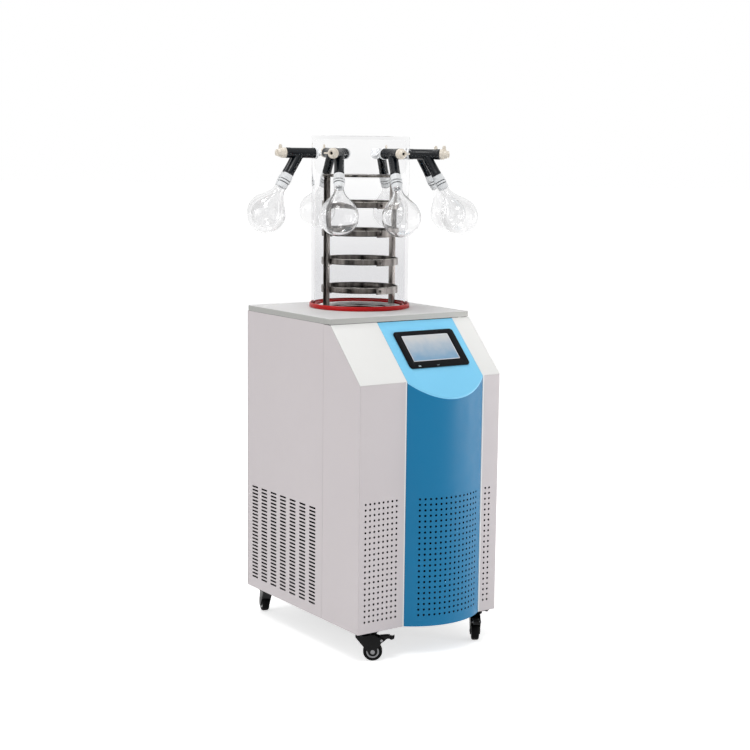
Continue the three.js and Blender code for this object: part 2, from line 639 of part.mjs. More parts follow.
// Red gasket: a ring with a groove that holds the foot of the chamber.
function chamberGasket() {
  const inside = CHAMBER_INSIDE - FIT;
  const outside = CHAMBER_RADIUS + FIT;
  const floor = FIT + GASKET_FLOOR;
  const top = FIT + GASKET_HEIGHT;
  const profile = closed([
    [gasketInner, FIT], [gasketOuter, FIT], [gasketOuter, top], [outside, top],
    [outside, floor], [inside, floor], [inside, top - GASKET_STEP], [gasketInner, top - GASKET_STEP],
  ]);
  return revolve(profile, facetCount, portFacing);
}

// Clear chamber: a cylinder with a flat lid, and a hole for the spigot of each valve.
function chamber() {
  const profile = [
    [0, CHAMBER_TOP - CHAMBER_LID], [CHAMBER_INSIDE, CHAMBER_TOP - CHAMBER_LID],
    [CHAMBER_INSIDE, chamberFoot], [CHAMBER_RADIUS, chamberFoot],
    [CHAMBER_RADIUS, CHAMBER_TOP - CHAMBER_CHAMFER],
    [CHAMBER_RADIUS - CHAMBER_CHAMFER, CHAMBER_TOP], [0, CHAMBER_TOP],
  ];
  let body = solid(revolve(profile, facetCount, portFacing));
  for (let port = 0; port < PORT_COUNT; port += 1) {
    const hole = rod(SPIGOT_RADIUS + FIT, CHAMBER_INSIDE - OVERCUT, CHAMBER_RADIUS + OVERCUT, ROUND);
    body = body.subtract(solid(
      layAlongX(hole).rotateZ(radians(portAngle(port))).translate(0, 0, PORT_HEIGHT)));
  }
  return geometryOf(body);
}

// Direction of a port, in degrees from +X.
function portAngle(port) {
  return portFacing + (360 / PORT_COUNT) * port;
}

add('cold_trap', coldTrap(), FINISH.deckSteel, chamberStation);
add('chamber_gasket', chamberGasket(), FINISH.redSilicone, chamberStation);
add('chamber', chamber(), FINISH.acrylic, chamberStation);

// ---------------------------------------------------------------- tray rack

const rackFloor = FIT + TRAP_FLANGE_THICKNESS + FIT;     // underside of the rack above the deck

const trayLevels = Array.from({ length: TRAY_COUNT }, (_, index) => LOWEST_TRAY + index * TRAY_PITCH);

// An arc of strip about Z, between two angles in degrees from +X.
function strip(innerRadius, outerRadius, from, to, z0, z1, segments) {
  const shape = new THREE.Shape();
  shape.absarc(0, 0, outerRadius, radians(from), radians(to), false);
  shape.absarc(0, 0, innerRadius, radians(to), radians(from), true);
  shape.closePath();
  return extrude(shape, z1 - z0, z0, segments);
}

// Welded rack: a base ring with crossed bars, two channel posts, a hoop for each tray and a top plate.
function rackFrame() {
  const ringInner = TRAP_RADIUS + FOOT_BAR;
  const ring = closed([
    [ringInner, rackFloor], [POST_OUTER, rackFloor],
    [POST_OUTER, rackFloor + RACK_SHEET], [ringInner, rackFloor + RACK_SHEET]]);
  let frame = solid(revolve(ring, RACK_SEGMENTS));
  for (const angle of FOOT_BAR_ANGLES) {
    const bar = block(-ringInner - WELD, ringInner + WELD, -FOOT_BAR / 2, FOOT_BAR / 2,
      rackFloor, rackFloor + RACK_SHEET);
    frame = frame.add(solid(bar.rotateZ(radians(angle))));
  }
  for (const side of [-1, 1]) {
    const channel = outline([
      [HOOP_INNER, -POST_WIDTH / 2], [POST_OUTER, -POST_WIDTH / 2],
      [POST_OUTER, RACK_SHEET - POST_WIDTH / 2], [HOOP_OUTER, RACK_SHEET - POST_WIDTH / 2],
      [HOOP_OUTER, POST_WIDTH / 2 - RACK_SHEET], [POST_OUTER, POST_WIDTH / 2 - RACK_SHEET],
      [POST_OUTER, POST_WIDTH / 2], [HOOP_INNER, POST_WIDTH / 2]]);
    const post = extrude(channel, RACK_TOP - rackFloor, rackFloor);
    frame = frame.add(solid(side < 0 ? post.rotateZ(Math.PI) : post));
  }
  for (const level of trayLevels) {
    const seat = level - FIT;
    const from = HOOP_OPEN_TO - 360;
    let hoop = solid(strip(HOOP_INNER, HOOP_OUTER, from, HOOP_OPEN_FROM + HOOP_TO_POST,
      seat - RACK_SHEET, seat - RACK_SHEET + HOOP_HEIGHT, 12));
    const hole = layAlongX(rod(HOOP_HOLE / 2, HOOP_INNER - OVERCUT, HOOP_OUTER + OVERCUT, 4))
      .rotateZ(radians(from + HOOP_HOLE_ANGLE)).translate(0, 0, seat + HOOP_HEIGHT / 2 - RACK_SHEET);
    hoop = hoop.subtract(solid(hole));
    for (const angle of [0, 90, 180]) {
      const lug = block(TRAY_RADIUS - LUG_LENGTH, HOOP_OUTER - WELD / 4, -POST_WIDTH / 4, POST_WIDTH / 4,
        seat - RACK_SHEET, seat);
      hoop = hoop.add(solid(lug.rotateZ(radians(angle))));
    }
    frame = frame.add(hoop);
  }
  const cap = revolve([
    [0, RACK_TOP - RACK_SHEET], [HOOP_OUTER - RACK_SHEET, RACK_TOP - RACK_SHEET],
    [HOOP_OUTER - RACK_SHEET, RACK_TOP - RACK_TOP_RIM], [HOOP_OUTER, RACK_TOP - RACK_TOP_RIM],
    [HOOP_OUTER, RACK_TOP], [0, RACK_TOP]], RACK_SEGMENTS);
  return geometryOf(frame.add(solid(cap)));
}

// Round steel tray with an upright rim.
function tray(level) {
  return revolve([
    [0, level], [TRAY_RADIUS, level], [TRAY_RADIUS, level + TRAY_RIM],
    [TRAY_RADIUS - TRAY_SHEET, level + TRAY_RIM], [TRAY_RADIUS - TRAY_SHEET, level + TRAY_SHEET],
    [0, level + TRAY_SHEET]], 22);
}

add('rack_frame', rackFrame(), FINISH.darkSteel, chamberStation);
trayLevels.forEach((level, index) => {
  add(`tray_${index + 1}`, tray(level), FINISH.darkSteel, chamberStation);
});

// ---------------------------------------------------------------- flask valves and flasks

const collarFace = CHAMBER_RADIUS + FIT;
const tubeStart = collarFace + COLLAR_LENGTH;
const tubeEnd = tubeStart + TUBE_LENGTH;
const branchRoot = tubeStart + BRANCH_FROM_INNER_END;

// Places a piece modelled along Z on the branch, with its origin where the branch leaves the tube's axis.
function onBranch(geometry, swing) {
  return geometry.rotateY(Math.PI - radians(BRANCH_ANGLE)).translate(branchRoot, 0, 0)
    .rotateX(radians(swing));
}

// Rubber valve body: spigot, collar and tube along X, and an oblique branch with a nipple.
function valveBody(swing) {
  const body = layAlongX(revolve([
    [0, CHAMBER_INSIDE - SPIGOT_PROUD], [SPIGOT_RADIUS, CHAMBER_INSIDE - SPIGOT_PROUD],
    [SPIGOT_RADIUS, collarFace], [COLLAR_RADIUS, collarFace], [COLLAR_RADIUS, tubeStart],
    [TUBE_RADIUS, tubeStart], [TUBE_RADIUS, tubeEnd], [0, tubeEnd]], ROUND));
  const branch = onBranch(revolve([
    [0, 0], [BRANCH_RADIUS, 0], [BRANCH_RADIUS - BRANCH_TAPER, BRANCH_LENGTH],
    [NIPPLE_RADIUS, BRANCH_LENGTH], [NIPPLE_RADIUS, BRANCH_LENGTH + NIPPLE_LENGTH],
    [0, BRANCH_LENGTH + NIPPLE_LENGTH]], ROUND), swing);
  const bore = layAlongX(rod(STEM_RADIUS + SEAM, tubeEnd - STEM_LENGTH - SEAM, tubeEnd + OVERCUT, ROUND));
  return geometryOf(solid(body).add(solid(branch)).subtract(solid(bore)));
}

// Cream knob with its stem in the end of the tube and a wing to turn it by.
function valveKnob(turn) {
  const start = tubeEnd + KNOB_TURN_GAP;
  const end = start + KNOB_LENGTH;
  const body = solid(layAlongX(revolve([
    [0, tubeEnd - STEM_LENGTH], [STEM_RADIUS, tubeEnd - STEM_LENGTH], [STEM_RADIUS, start],
    [KNOB_RADIUS, start], [KNOB_RADIUS, end - KNOB_EDGE], [KNOB_END_RADIUS, end], [0, end]], ROUND)));
  const wing = solid(block(start + WING_INSET, end - KNOB_EDGE - SHEET,
    -WING_THICKNESS / 2, WING_THICKNESS / 2, 0, KNOB_RADIUS + KNOB_WING).rotateX(radians(turn)));
  return geometryOf(body.add(wing));
}

// Pear-shaped flask with its sleeve adapter, hollow and open at the nipple.
function flask(swing) {
  const bore = NIPPLE_RADIUS + SEAM;
  const end = ADAPTER_LENGTH + FLASK_LENGTH;
  const centre = end - BULB_RADIUS;
  const arc = (radius, degrees, steps) => {
    const points = [];
    for (let i = 0; i <= steps; i += 1) {
      const angle = radians((degrees * i) / steps);
      points.push([radius * Math.sin(angle), centre + radius * Math.cos(angle)]);
    }
    return points;
  };
  const neckIn = Math.max(bore, NECK_RADIUS - GLASS_WALL - SEAM);
  const outside = arc(BULB_RADIUS, BULB_TO_NECK, 4);
  const inside = arc(BULB_RADIUS - GLASS_WALL, BULB_TO_NECK, 3).reverse();
  outside[0][0] = 0;
  inside[inside.length - 1][0] = 0;
  const band = ADAPTER_RADIUS + ADAPTER_BEAD;
  const neckFoot = ADAPTER_LENGTH + NECK_COLLAR;
  const profile = [
    ...outside,
    [NECK_RADIUS, neckFoot], [NECK_RADIUS, ADAPTER_LENGTH],
    [band, ADAPTER_RIB], [ADAPTER_RADIUS, FIT], [bore, FIT], [neckIn, neckFoot],
    ...inside,
  ];
  return onBranch(revolve(profile.reverse(), ROUND).translate(0, 0, BRANCH_LENGTH), swing);
}

for (let port = 0; port < PORT_COUNT; port += 1) {
  const arm = new THREE.Group();
  arm.position.set(0, 0, PORT_HEIGHT);
  arm.rotation.z = radians(portAngle(port));
  chamberStation.add(arm);
  const swing = VALVE_SWING[port] ?? 0;
  add(`valve_body_${port + 1}`, valveBody(swing), FINISH.rubber, arm);
  add(`valve_knob_${port + 1}`, valveKnob(WING_AT_REST[port] ?? 0), FINISH.creamPlastic, arm);
  add(`flask_${port + 1}`, flask(swing), FINISH.glass, arm);
}

// ---------------------------------------------------------------- casters

const plateTop = BASE_Z - FIT;
const plateLow = plateTop - CASTER_PLATE_THICKNESS;
const racewayLow = plateLow - RACEWAY_HEIGHT;
const forkTop = racewayLow - FIT;
const forkCrownLow = forkTop - CHEEK;
const cheekInner = WHEEL_WIDTH / 2 + PLAY;
const cheekOuter = cheekInner + CHEEK;

// Fixed plate under the base pan, with its raceway and kingpin.
function casterPlate() {
  const square = rectangle(CASTER_PLATE, CASTER_PLATE, CASTER_PLATE_CORNER);
  const plate = solid(extrude(square, CASTER_PLATE_THICKNESS, plateLow, 1));
  const raceway = solid(rod(RACEWAY_RADIUS, racewayLow, plateLow + 1, ROUND));
  const kingpin = solid(rod(KINGPIN_RADIUS, forkCrownLow - 1, plateLow + 1, 6));
  return geometryOf(plate.add(raceway).add(kingpin));
}

// Side outline of one fork cheek: wide at the crown, round at the axle, with an ear for the brake.
function cheekOutline(withBrake) {
  const shape = new THREE.Shape();
  const front = -RACEWAY_RADIUS - CROWN_MARGIN;
  const ear = withBrake ? BRAKE_PIVOT_REACH + BRAKE_EAR : RACEWAY_RADIUS + EAR_BACK;
  const earLow = withBrake ? BRAKE_PIVOT_HEIGHT - BRAKE_EAR : forkTop - EAR_DROP;
  const earTop = withBrake ? BRAKE_PIVOT_HEIGHT + BRAKE_EAR : forkTop;
  shape.moveTo(front, forkTop);
  shape.lineTo(front, forkTop - EAR_DROP / 2);
  shape.absarc(TRAIL, WHEEL_RADIUS, AXLE_BOSS, radians(205), radians(385));
  shape.lineTo(ear, earLow);
  shape.lineTo(ear, earTop);
  if (withBrake) shape.lineTo(TRAIL + CROWN_MARGIN, forkTop);
  shape.closePath();
  return shape;
}

// Outline of the fork's front web, along the cheeks' sloping edge down to the wheel.
function webOutline() {
  const front = -RACEWAY_RADIUS - CROWN_MARGIN;
  const foot = radians(205);
  const start = new THREE.Vector2(front, forkTop - EAR_DROP / 2);
  const along = new THREE.Vector2(TRAIL + AXLE_BOSS * Math.cos(foot), WHEEL_RADIUS + AXLE_BOSS * Math.sin(foot))
    .sub(start).normalize();
  const inward = new THREE.Vector2(-along.y, along.x);
  const toAxle = new THREE.Vector2(TRAIL, WHEEL_RADIUS).sub(start);
  const nearest = toAxle.dot(along);
  const reach = nearest - Math.sqrt((WHEEL_RADIUS + CHEEK + PLAY) ** 2 - (toAxle.dot(inward) - CHEEK) ** 2);
  const low = start.clone().addScaledVector(along, reach);
  const lowInside = low.clone().addScaledVector(inward, CHEEK);
  const bend = start.clone().addScaledVector(inward, CHEEK);
  return outline([[front, forkTop - FIT], [start.x, start.y], [low.x, low.y], [lowInside.x, lowInside.y],
    [bend.x, bend.y], [front + CHEEK, forkTop - FIT]]);
}

// Swivelling fork with its crown, front web, axle and, where there is a brake, the brake's pin.
function casterFork(withBrake) {
  let fork = solid(rod(RACEWAY_RADIUS + CROWN_MARGIN, forkCrownLow, forkTop, ROUND));
  fork = fork.add(solid(extrudeAlongY(webOutline(), cheekInner + CHEEK / 2, -cheekInner - CHEEK / 2)));
  for (const low of [-cheekOuter, cheekInner]) {
    fork = fork.add(solid(extrudeAlongY(cheekOutline(withBrake), low + CHEEK, low, 2)));
  }
  const pin = (radius, x, z) => solid(
    rod(radius, -cheekOuter + 1, cheekOuter - 1, 6).rotateX(Math.PI / 2).translate(x, 0, z));
  fork = fork.add(pin(AXLE_RADIUS, TRAIL, WHEEL_RADIUS));
  if (withBrake) fork = fork.add(pin(BRAKE_PIN_RADIUS, BRAKE_PIVOT_REACH, BRAKE_PIVOT_HEIGHT));
  return geometryOf(fork.subtract(solid(rod(KINGPIN_RADIUS + SEAM, forkCrownLow - 2, forkTop + 1, 6))));
}

// Wheel with a rounded tread and a bore for the axle.
function casterWheel() {
  const half = WHEEL_WIDTH / 2;
  const profile = closed([
    [AXLE_BORE, -half], [WHEEL_RADIUS - TREAD_ROUND, -half], [WHEEL_RADIUS, TREAD_ROUND - half],
    [WHEEL_RADIUS, half - TREAD_ROUND], [WHEEL_RADIUS - TREAD_ROUND, half], [AXLE_BORE, half],
  ]);
  return revolve(profile, 14).rotateX(Math.PI / 2).translate(TRAIL, 0, WHEEL_RADIUS);
}

// Brake pedal: a waved tread on a hub that turns on the brake's pin, drawn about the pin.
function brakePedal() {
  const shape = new THREE.Shape();
  shape.moveTo(-6, -3);
  shape.lineTo(2, -7);
  shape.lineTo(8, -2);
  shape.quadraticCurveTo(16, 8, 24, 1);
  shape.lineTo(31, 3);
  shape.lineTo(33, 11);
  shape.quadraticCurveTo(26, 4, 18, 12);
  shape.lineTo(-4, 10);
  shape.closePath();
  const pedal = solid(extrudeAlongY(shape, BRAKE_WIDTH / 2, -BRAKE_WIDTH / 2, 4));
  const bore = solid(rod(BRAKE_PIN_RADIUS + SEAM, -BRAKE_WIDTH, BRAKE_WIDTH, ROUND).rotateX(Math.PI / 2));
  return geometryOf(pedal.subtract(bore)).translate(BRAKE_PIVOT_REACH, 0, BRAKE_PIVOT_HEIGHT);
}

// Each caster's corner and the direction of its trail, in degrees from +X.
const CASTERS = [
  { side: -1, end: -1, trail: -34, brake: true },
  { side: 1, end: -1, trail: -124, brake: true },
  { side: -1, end: 1, trail: 72, brake: false },
  { side: 1, end: 1, trail: 85, brake: false },
];

CASTERS.forEach(({ side, end, trail, brake }, index) => {
  const corner = new THREE.Group();
  corner.position.set(
    side * (CABINET_WIDTH / 2 - CASTER_INSET_X), end * (CABINET_DEPTH / 2 - CASTER_INSET_Y), 0);
  model.add(corner);
  const swivel = new THREE.Group();
  swivel.rotation.z = radians(trail);
  corner.add(swivel);
  add(`caster_plate_${index + 1}`, casterPlate(), FINISH.casterBlack, corner);
  add(`caster_fork_${index + 1}`, casterFork(brake), FINISH.casterBlack, swivel);
  add(`caster_wheel_${index + 1}`, casterWheel(), FINISH.casterBlack, swivel);
  if (brake) add(`caster_brake_${index + 1}`, brakePedal(), FINISH.casterBlack, swivel);
});

// ---------------------------------------------------------------- refrigeration set and services

const panFloor = BASE_Z + PAN_SHEET + FIT;

// Hermetic compressor: a welded can with a domed top on a footed plate.
function compressor() {
  const r = COMPRESSOR_RADIUS;
  const low = panFloor + COMPRESSOR_FOOT - 2;
  const seam = panFloor + COMPRESSOR_SEAM;
  const top = panFloor + COMPRESSOR_HEIGHT;
  const can = revolve([
    [0, low], [r, low], [r, seam - COMPRESSOR_BEAD], [r + COMPRESSOR_BEAD, seam],
    [r, seam + COMPRESSOR_BEAD], [0.9 * r, top - 0.4 * r], [r / 2, top], [0, top]], 12);
  const foot = block(-r - COMPRESSOR_FOOT, r + COMPRESSOR_FOOT, -0.7 * r, 0.7 * r,
    panFloor, panFloor + COMPRESSOR_FOOT);
  return geometryOf(solid(can).add(solid(foot))).translate(COMPRESSOR_X, COMPRESSOR_Y, 0);
}

const condenserFront = panFront + PAN_SHEET + CONDENSER_FROM_PAN;
const condenserBack = condenserFront + CONDENSER_DEPTH;
const condenserTop = panFloor + CONDENSER_LIFT + CONDENSER_HEIGHT;
const fanZ = condenserTop - CONDENSER_HEIGHT / 2;
const motorFront = condenserBack - SHEET / 2;
const motorBack = motorFront + MOTOR_LENGTH;

// A round bar of the motor, from the condenser's back towards +Y.
const motorBar = (radius, length, sides) => solid(
  rod(radius, 0, length, sides).rotateX(-Math.PI / 2).translate(0, motorFront, fanZ));

// Condenser: fins between two end plates that stand on the pan, with the fan's motor on a bar behind.
function condenser() {
  const half = CONDENSER_WIDTH / 2;
  const plate = (x) => solid(block(x, x + SHEET, condenserFront, condenserBack, panFloor, condenserTop));
  const between = (front, low, high) => solid(
    block(SHEET / 2 - half, half - SHEET / 2, front, condenserBack, low, high));
  let core = plate(-half).add(plate(half - SHEET));
  for (let fin = 0; fin < CONDENSER_FINS; fin += 1) {
    const z = panFloor + CONDENSER_LIFT + (fin * (CONDENSER_HEIGHT - SHEET)) / (CONDENSER_FINS - 1);
    core = core.add(between(condenserFront, z, z + SHEET));
  }
  return geometryOf(core
    .add(between(condenserBack - SHEET, fanZ - MOTOR_BAR / 2, fanZ + MOTOR_BAR / 2))
    .add(motorBar(HUB_RADIUS, MOTOR_LENGTH, ROUND))
    .add(motorBar(STEM_RADIUS, MOTOR_LENGTH + SHAFT_PAST_MOTOR, ROUND)));
}

// Condenser fan: pitched blades on a hub that turns on the motor's shaft.
function condenserFan() {
  let fan = solid(rod(HUB_RADIUS, 0, FAN_DEPTH, ROUND));
  for (let blade = 0; blade < FAN_BLADES; blade += 1) {
    const half = BLADE_WIDTH / 2;
    const paddle = block(0.8 * HUB_RADIUS, FAN_RADIUS, -half, half, -SHEET / 2, SHEET / 2)
      .rotateX(radians(BLADE_PITCH)).translate(0, 0, FAN_DEPTH / 2)
      .rotateZ((2 * Math.PI * blade) / FAN_BLADES);
    fan = fan.add(solid(paddle));
  }
  const bore = solid(rod(STEM_RADIUS + PLAY, -OVERCUT, FAN_DEPTH + OVERCUT, ROUND));
  return geometryOf(fan.subtract(bore)).rotateX(-Math.PI / 2).translate(0, motorBack + SHEET / 2, fanZ);
}

// Power inlet: a flanged socket in the rear panel, with a recess for the plug.
function powerInlet() {
  const slab = (grow, corner, back, front) => solid(extrudeAlongY(
    rectangle(INLET_WIDTH + grow, INLET_HEIGHT + grow, corner, INLET_X, INLET_Z), back, front, 2));
  const body = slab(-2 * FIT, 0, BACK_Y + SHEET, BACK_Y - INLET_DEPTH);
  const flange = slab(2 * INLET_FLANGE, INLET_FLANGE - 1, BACK_Y + FIT + SHEET, BACK_Y + FIT);
  const recess = slab(-2 * INLET_WALL, 0, BACK_Y + OVERCUT, BACK_Y - INLET_RECESS);
  return geometryOf(body.add(flange).subtract(recess));
}

add('compressor', compressor(), FINISH.castIron);
add('condenser', condenser(), FINISH.zinc);
add('condenser_fan', condenserFan(), FINISH.blackPlastic);
add('power_inlet', powerInlet(), FINISH.blackPlastic);

// ---------------------------------------------------------------- origin at the centre of the footprint

model.updateMatrixWorld(true);
const bounds = new THREE.Box3().setFromObject(model, true);
model.position.set(-(bounds.min.x + bounds.max.x) / 2, -(bounds.min.y + bounds.max.y) / 2, -bounds.min.z);
model.updateMatrixWorld(true);

export default model;
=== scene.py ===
"""Looks of a floor-standing freeze dryer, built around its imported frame.

Sizes are in millimetres inside the classes and become metres when a piece is delivered.
"""
import sys

import logging
import math
from collections.abc import Callable, Iterable, Sequence
from dataclasses import dataclass, field
from enum import Enum
from typing import Protocol

import bmesh
import bpy
from mathutils import Matrix, Vector


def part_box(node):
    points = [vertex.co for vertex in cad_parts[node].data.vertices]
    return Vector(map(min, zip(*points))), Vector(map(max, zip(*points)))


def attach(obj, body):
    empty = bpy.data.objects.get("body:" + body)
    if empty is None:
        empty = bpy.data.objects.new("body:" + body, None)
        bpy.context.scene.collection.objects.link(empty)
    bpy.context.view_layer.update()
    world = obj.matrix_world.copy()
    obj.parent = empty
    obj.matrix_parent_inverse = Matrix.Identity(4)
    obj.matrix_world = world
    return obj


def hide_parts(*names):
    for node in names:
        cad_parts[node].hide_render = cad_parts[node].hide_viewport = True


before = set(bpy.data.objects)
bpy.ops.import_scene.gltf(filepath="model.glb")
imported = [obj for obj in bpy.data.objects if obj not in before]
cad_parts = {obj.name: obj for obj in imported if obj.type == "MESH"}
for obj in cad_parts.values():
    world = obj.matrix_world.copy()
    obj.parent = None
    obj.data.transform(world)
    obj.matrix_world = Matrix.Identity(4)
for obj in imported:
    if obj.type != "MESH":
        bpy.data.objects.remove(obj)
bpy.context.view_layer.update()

log = logging.getLogger("freeze_dryer")
MM = 0.001
MERGE = 0.002      # vertices closer than this, in millimetres, become one
WHITE_LIGHT = (1.0, 1.0, 1.0, 1.0)
# Each flask arm's swing about its tube and its wing's turn from upright, in degrees.
ARM_ANGLES = ((-7.8, -90), *((0, 0),) * 5, (0, 90), (12, 90))
CASTERS = (1, 2, 3, 4)
BRAKED_CASTERS = (1, 2)
Point = tuple[float, float]
Colour = tuple[float, float, float]
Socket = bpy.types.NodeSocket
Edge = bmesh.types.BMEdge


# ---------------------------------------------------------------- materials


def linear(red: float, green: float, blue: float) -> Colour:
    """Turns an sRGB colour of 0 to 255 into linear values."""
    def channel(value: float) -> float:
        """Gives one channel's linear value."""
        v = value / 255
        return v / 12.92 if v <= 0.04045 else ((v + 0.055) / 1.055) ** 2.4
    return channel(red), channel(green), channel(blue)


def seen_rays(tree: bpy.types.NodeTree) -> Socket:
    """Adds nodes that tell the rays of the eye, of gloss and of clear walls from the rest.

    Args:
        tree: The material's or the world's nodes.

    Returns:
        The socket that is 1 for those rays and 0 for the rest.
    """
    rays = tree.nodes.new("ShaderNodeLightPath")
    known = rays.outputs["Is Camera Ray"]
    for kind in ("Is Glossy Ray", "Is Transmission Ray"):
        either = tree.nodes.new("ShaderNodeMath")
        either.operation = "MAXIMUM"
        tree.links.new(known, either.inputs[0])
        tree.links.new(rays.outputs[kind], either.inputs[1])
        known = either.outputs[0]
    return known


class Recipe:
    """The nodes of one procedural material around a Principled shader."""

    def __init__(self, name: str) -> None:
        """Starts a material with its shader joined to its output.

        Args:
            name: The material's name.
        """
        self.material = bpy.data.materials.new(name)
        self.material.use_nodes = True
        self.tree = self.material.node_tree
        self.tree.nodes.clear()
        self.output = self.tree.nodes.new("ShaderNodeOutputMaterial")
        self.shader = self.tree.nodes.new("ShaderNodeBsdfPrincipled")
        self.join(self.shader.outputs["BSDF"], self.output.inputs["Surface"])
        self.coordinates = self.tree.nodes.new("ShaderNodeTexCoord")

    def join(self, source: Socket, target: Socket) -> None:
        """Links one socket to another."""
        self.tree.links.new(source, target)

    def node(self, kind: str, **settings: object) -> bpy.types.Node:
        """Adds a node and gives its properties values.

        Args:
            kind: The node's type, without its common prefix.
            **settings: Properties of the node, by name.

        Returns:
            The new node.
        """
        made = self.tree.nodes.new("ShaderNode" + kind)
        for name, value in settings.items():
            setattr(made, name, value)
        return made

    def coat(self, **values: object) -> None:
        """Sets constants on the shader's own sockets, named with underscores for spaces."""
        for name, value in values.items():
            socket = self.shader.inputs[name.replace("_", " ")]
            socket.default_value = (*value, 1.0) if isinstance(value, tuple) else value

    def mapped(self, stretch: Sequence[float] = (1, 1, 1), turn: Sequence[float] = (0, 0, 0),
               centre: Sequence[float] = (0, 0, 0)) -> Socket:
        """Gives object coordinates moved to a centre, then turned and stretched.

        Args:
            stretch: Factor on each axis.
            turn: Rotation in radians about each axis.
            centre: Point that becomes the pattern's origin.

        Returns:
            The socket that carries the coordinates.
        """
        shift = self.node("VectorMath", operation="SUBTRACT")
        shift.inputs[1].default_value = tuple(centre)
        self.join(self.coordinates.outputs["Object"], shift.inputs[0])
        mapping = self.node("Mapping")
        mapping.inputs["Rotation"].default_value = tuple(turn)
        mapping.inputs["Scale"].default_value = tuple(stretch)
        self.join(shift.outputs["Vector"], mapping.inputs["Vector"])
        return mapping.outputs["Vector"]

    def noise(self, scale: float, detail: float = 3.0, vector: Socket | None = None,
              rough: float = 0.5) -> Socket:
        """Gives a noise value of about 0 to 1.

        Args:
            scale: Cells to the metre.
            detail: Octaves.
            vector: Coordinates, or none for plain object coordinates.
            rough: Strength of the finer octaves.

        Returns:
            The socket that carries the value.
        """
        made = self.node("TexNoise")
        made.inputs["Scale"].default_value = scale
        made.inputs["Detail"].default_value = detail
        made.inputs["Roughness"].default_value = rough
        self.join(vector or self.mapped(), made.inputs["Vector"])
        return made.outputs["Fac"]

    def spread(self, value: Socket, low: float, high: float,
               start: float = 0.3, end: float = 0.7) -> Socket:
        """Maps a value between start and end onto low to high, and clamps it.

        Args:
            value: The socket to map.
            low: Result at the start.
            high: Result at the end.
            start: Value that gives the low result.
            end: Value that gives the high result.

        Returns:
            The socket that carries the mapped value.
        """
        made = self.node("MapRange", clamp=True)
        for name, number in (("From Min", start), ("From Max", end), ("To Min", low), ("To Max", high)):
            made.inputs[name].default_value = number
        self.join(value, made.inputs["Value"])
        return made.outputs["Result"]

    def blend(self, factor: Socket, first: Colour | Socket,
              second: Colour | Socket) -> Socket:
        """Mixes two colours, each a constant or a socket.

        Args:
            factor: 0 gives the first colour and 1 the second.
            first: Colour at 0.
            second: Colour at 1.

        Returns:
            The socket that carries the mixed colour.
        """
        made = self.node("Mix", data_type="RGBA", clamp_factor=True)
        self.join(factor, made.inputs[0])
        for socket, colour in ((made.inputs[6], first), (made.inputs[7], second)):
            if isinstance(colour, tuple):
                socket.default_value = (*colour, 1.0)
            else:
                self.join(colour, socket)
        return made.outputs[2]

    def colour(self, source: Socket) -> None:
        """Feeds the shader's base colour."""
        self.join(source, self.shader.inputs["Base Color"])

    def mottle(self, tone: Colour, share: float, pattern: Socket) -> None:
        """Feeds the base colour with a tone that a pattern darkens down to a share of itself.

        Args:
            tone: The colour where the pattern is 1.
            share: What is left of the tone where the pattern is 0.
            pattern: A value of about 0 to 1.
        """
        dark = tuple(c * share for c in tone)
        self.colour(self.blend(self.spread(pattern, 0, 1), dark, tone))

    def roughness(self, source: Socket) -> None:
        """Feeds the shader's roughness."""
        self.join(source, self.shader.inputs["Roughness"])

    def bump(self, height: Socket, strength: float, depth: float) -> None:
        """Raises the surface by a height in metres and feeds the shader's normal.

        Args:
            height: Socket of 0 to 1.
            strength: Share of the bump that shows.
            depth: Height in metres at a value of 1.
        """
        made = self.node("Bump")
        made.inputs["Strength"].default_value = strength
        made.inputs["Distance"].default_value = depth
        self.join(height, made.inputs["Height"])
        self.join(made.outputs["Normal"], self.shader.inputs["Normal"])


class Maker(Protocol):
    """Anything that makes a material."""

    def make(self) -> bpy.types.Material:
        """Builds the material."""


@dataclass(frozen=True)
class PowderCoat:
    """Powder-coated sheet: a fine orange peel under a satin gloss, with a faint drift of tone."""

    name: str
    tone: Colour
    gloss: float = 0.42
    drift: float = 0.05
    peel: float = 0.22
    shine: float = 0.45

    def make(self) -> bpy.types.Material:
        """Builds the material."""
        recipe = Recipe(self.name)
        recipe.mottle(self.tone, 1 - self.drift, recipe.noise(3.2, 4))
        recipe.roughness(recipe.spread(recipe.noise(38, 5), self.gloss - 0.05, self.gloss + 0.06))
        recipe.bump(recipe.noise(1400, 2), self.peel, 0.00008)
        recipe.coat(Specular_IOR_Level=self.shine, IOR=1.5)
        return recipe.material


@dataclass(frozen=True)
class BrushedSteel:
    """Sheet steel with a grain of long scratches along one direction."""

    name: str
    tone: Colour
    grain: Sequence[float] = (6, 420, 420)
    gloss: float = 0.34
    metal: float = 1.0
    shine: float = 0.5

    def make(self) -> bpy.types.Material:
        """Builds the material."""
        recipe = Recipe(self.name)
        lines = recipe.noise(1, 4, recipe.mapped(self.grain), 0.6)
        recipe.mottle(self.tone, 0.86, lines)
        recipe.roughness(recipe.spread(lines, self.gloss - 0.08, self.gloss + 0.1))
        recipe.bump(lines, 0.25, 0.00006)
        recipe.coat(Metallic=self.metal, Specular_IOR_Level=self.shine)
        return recipe.material


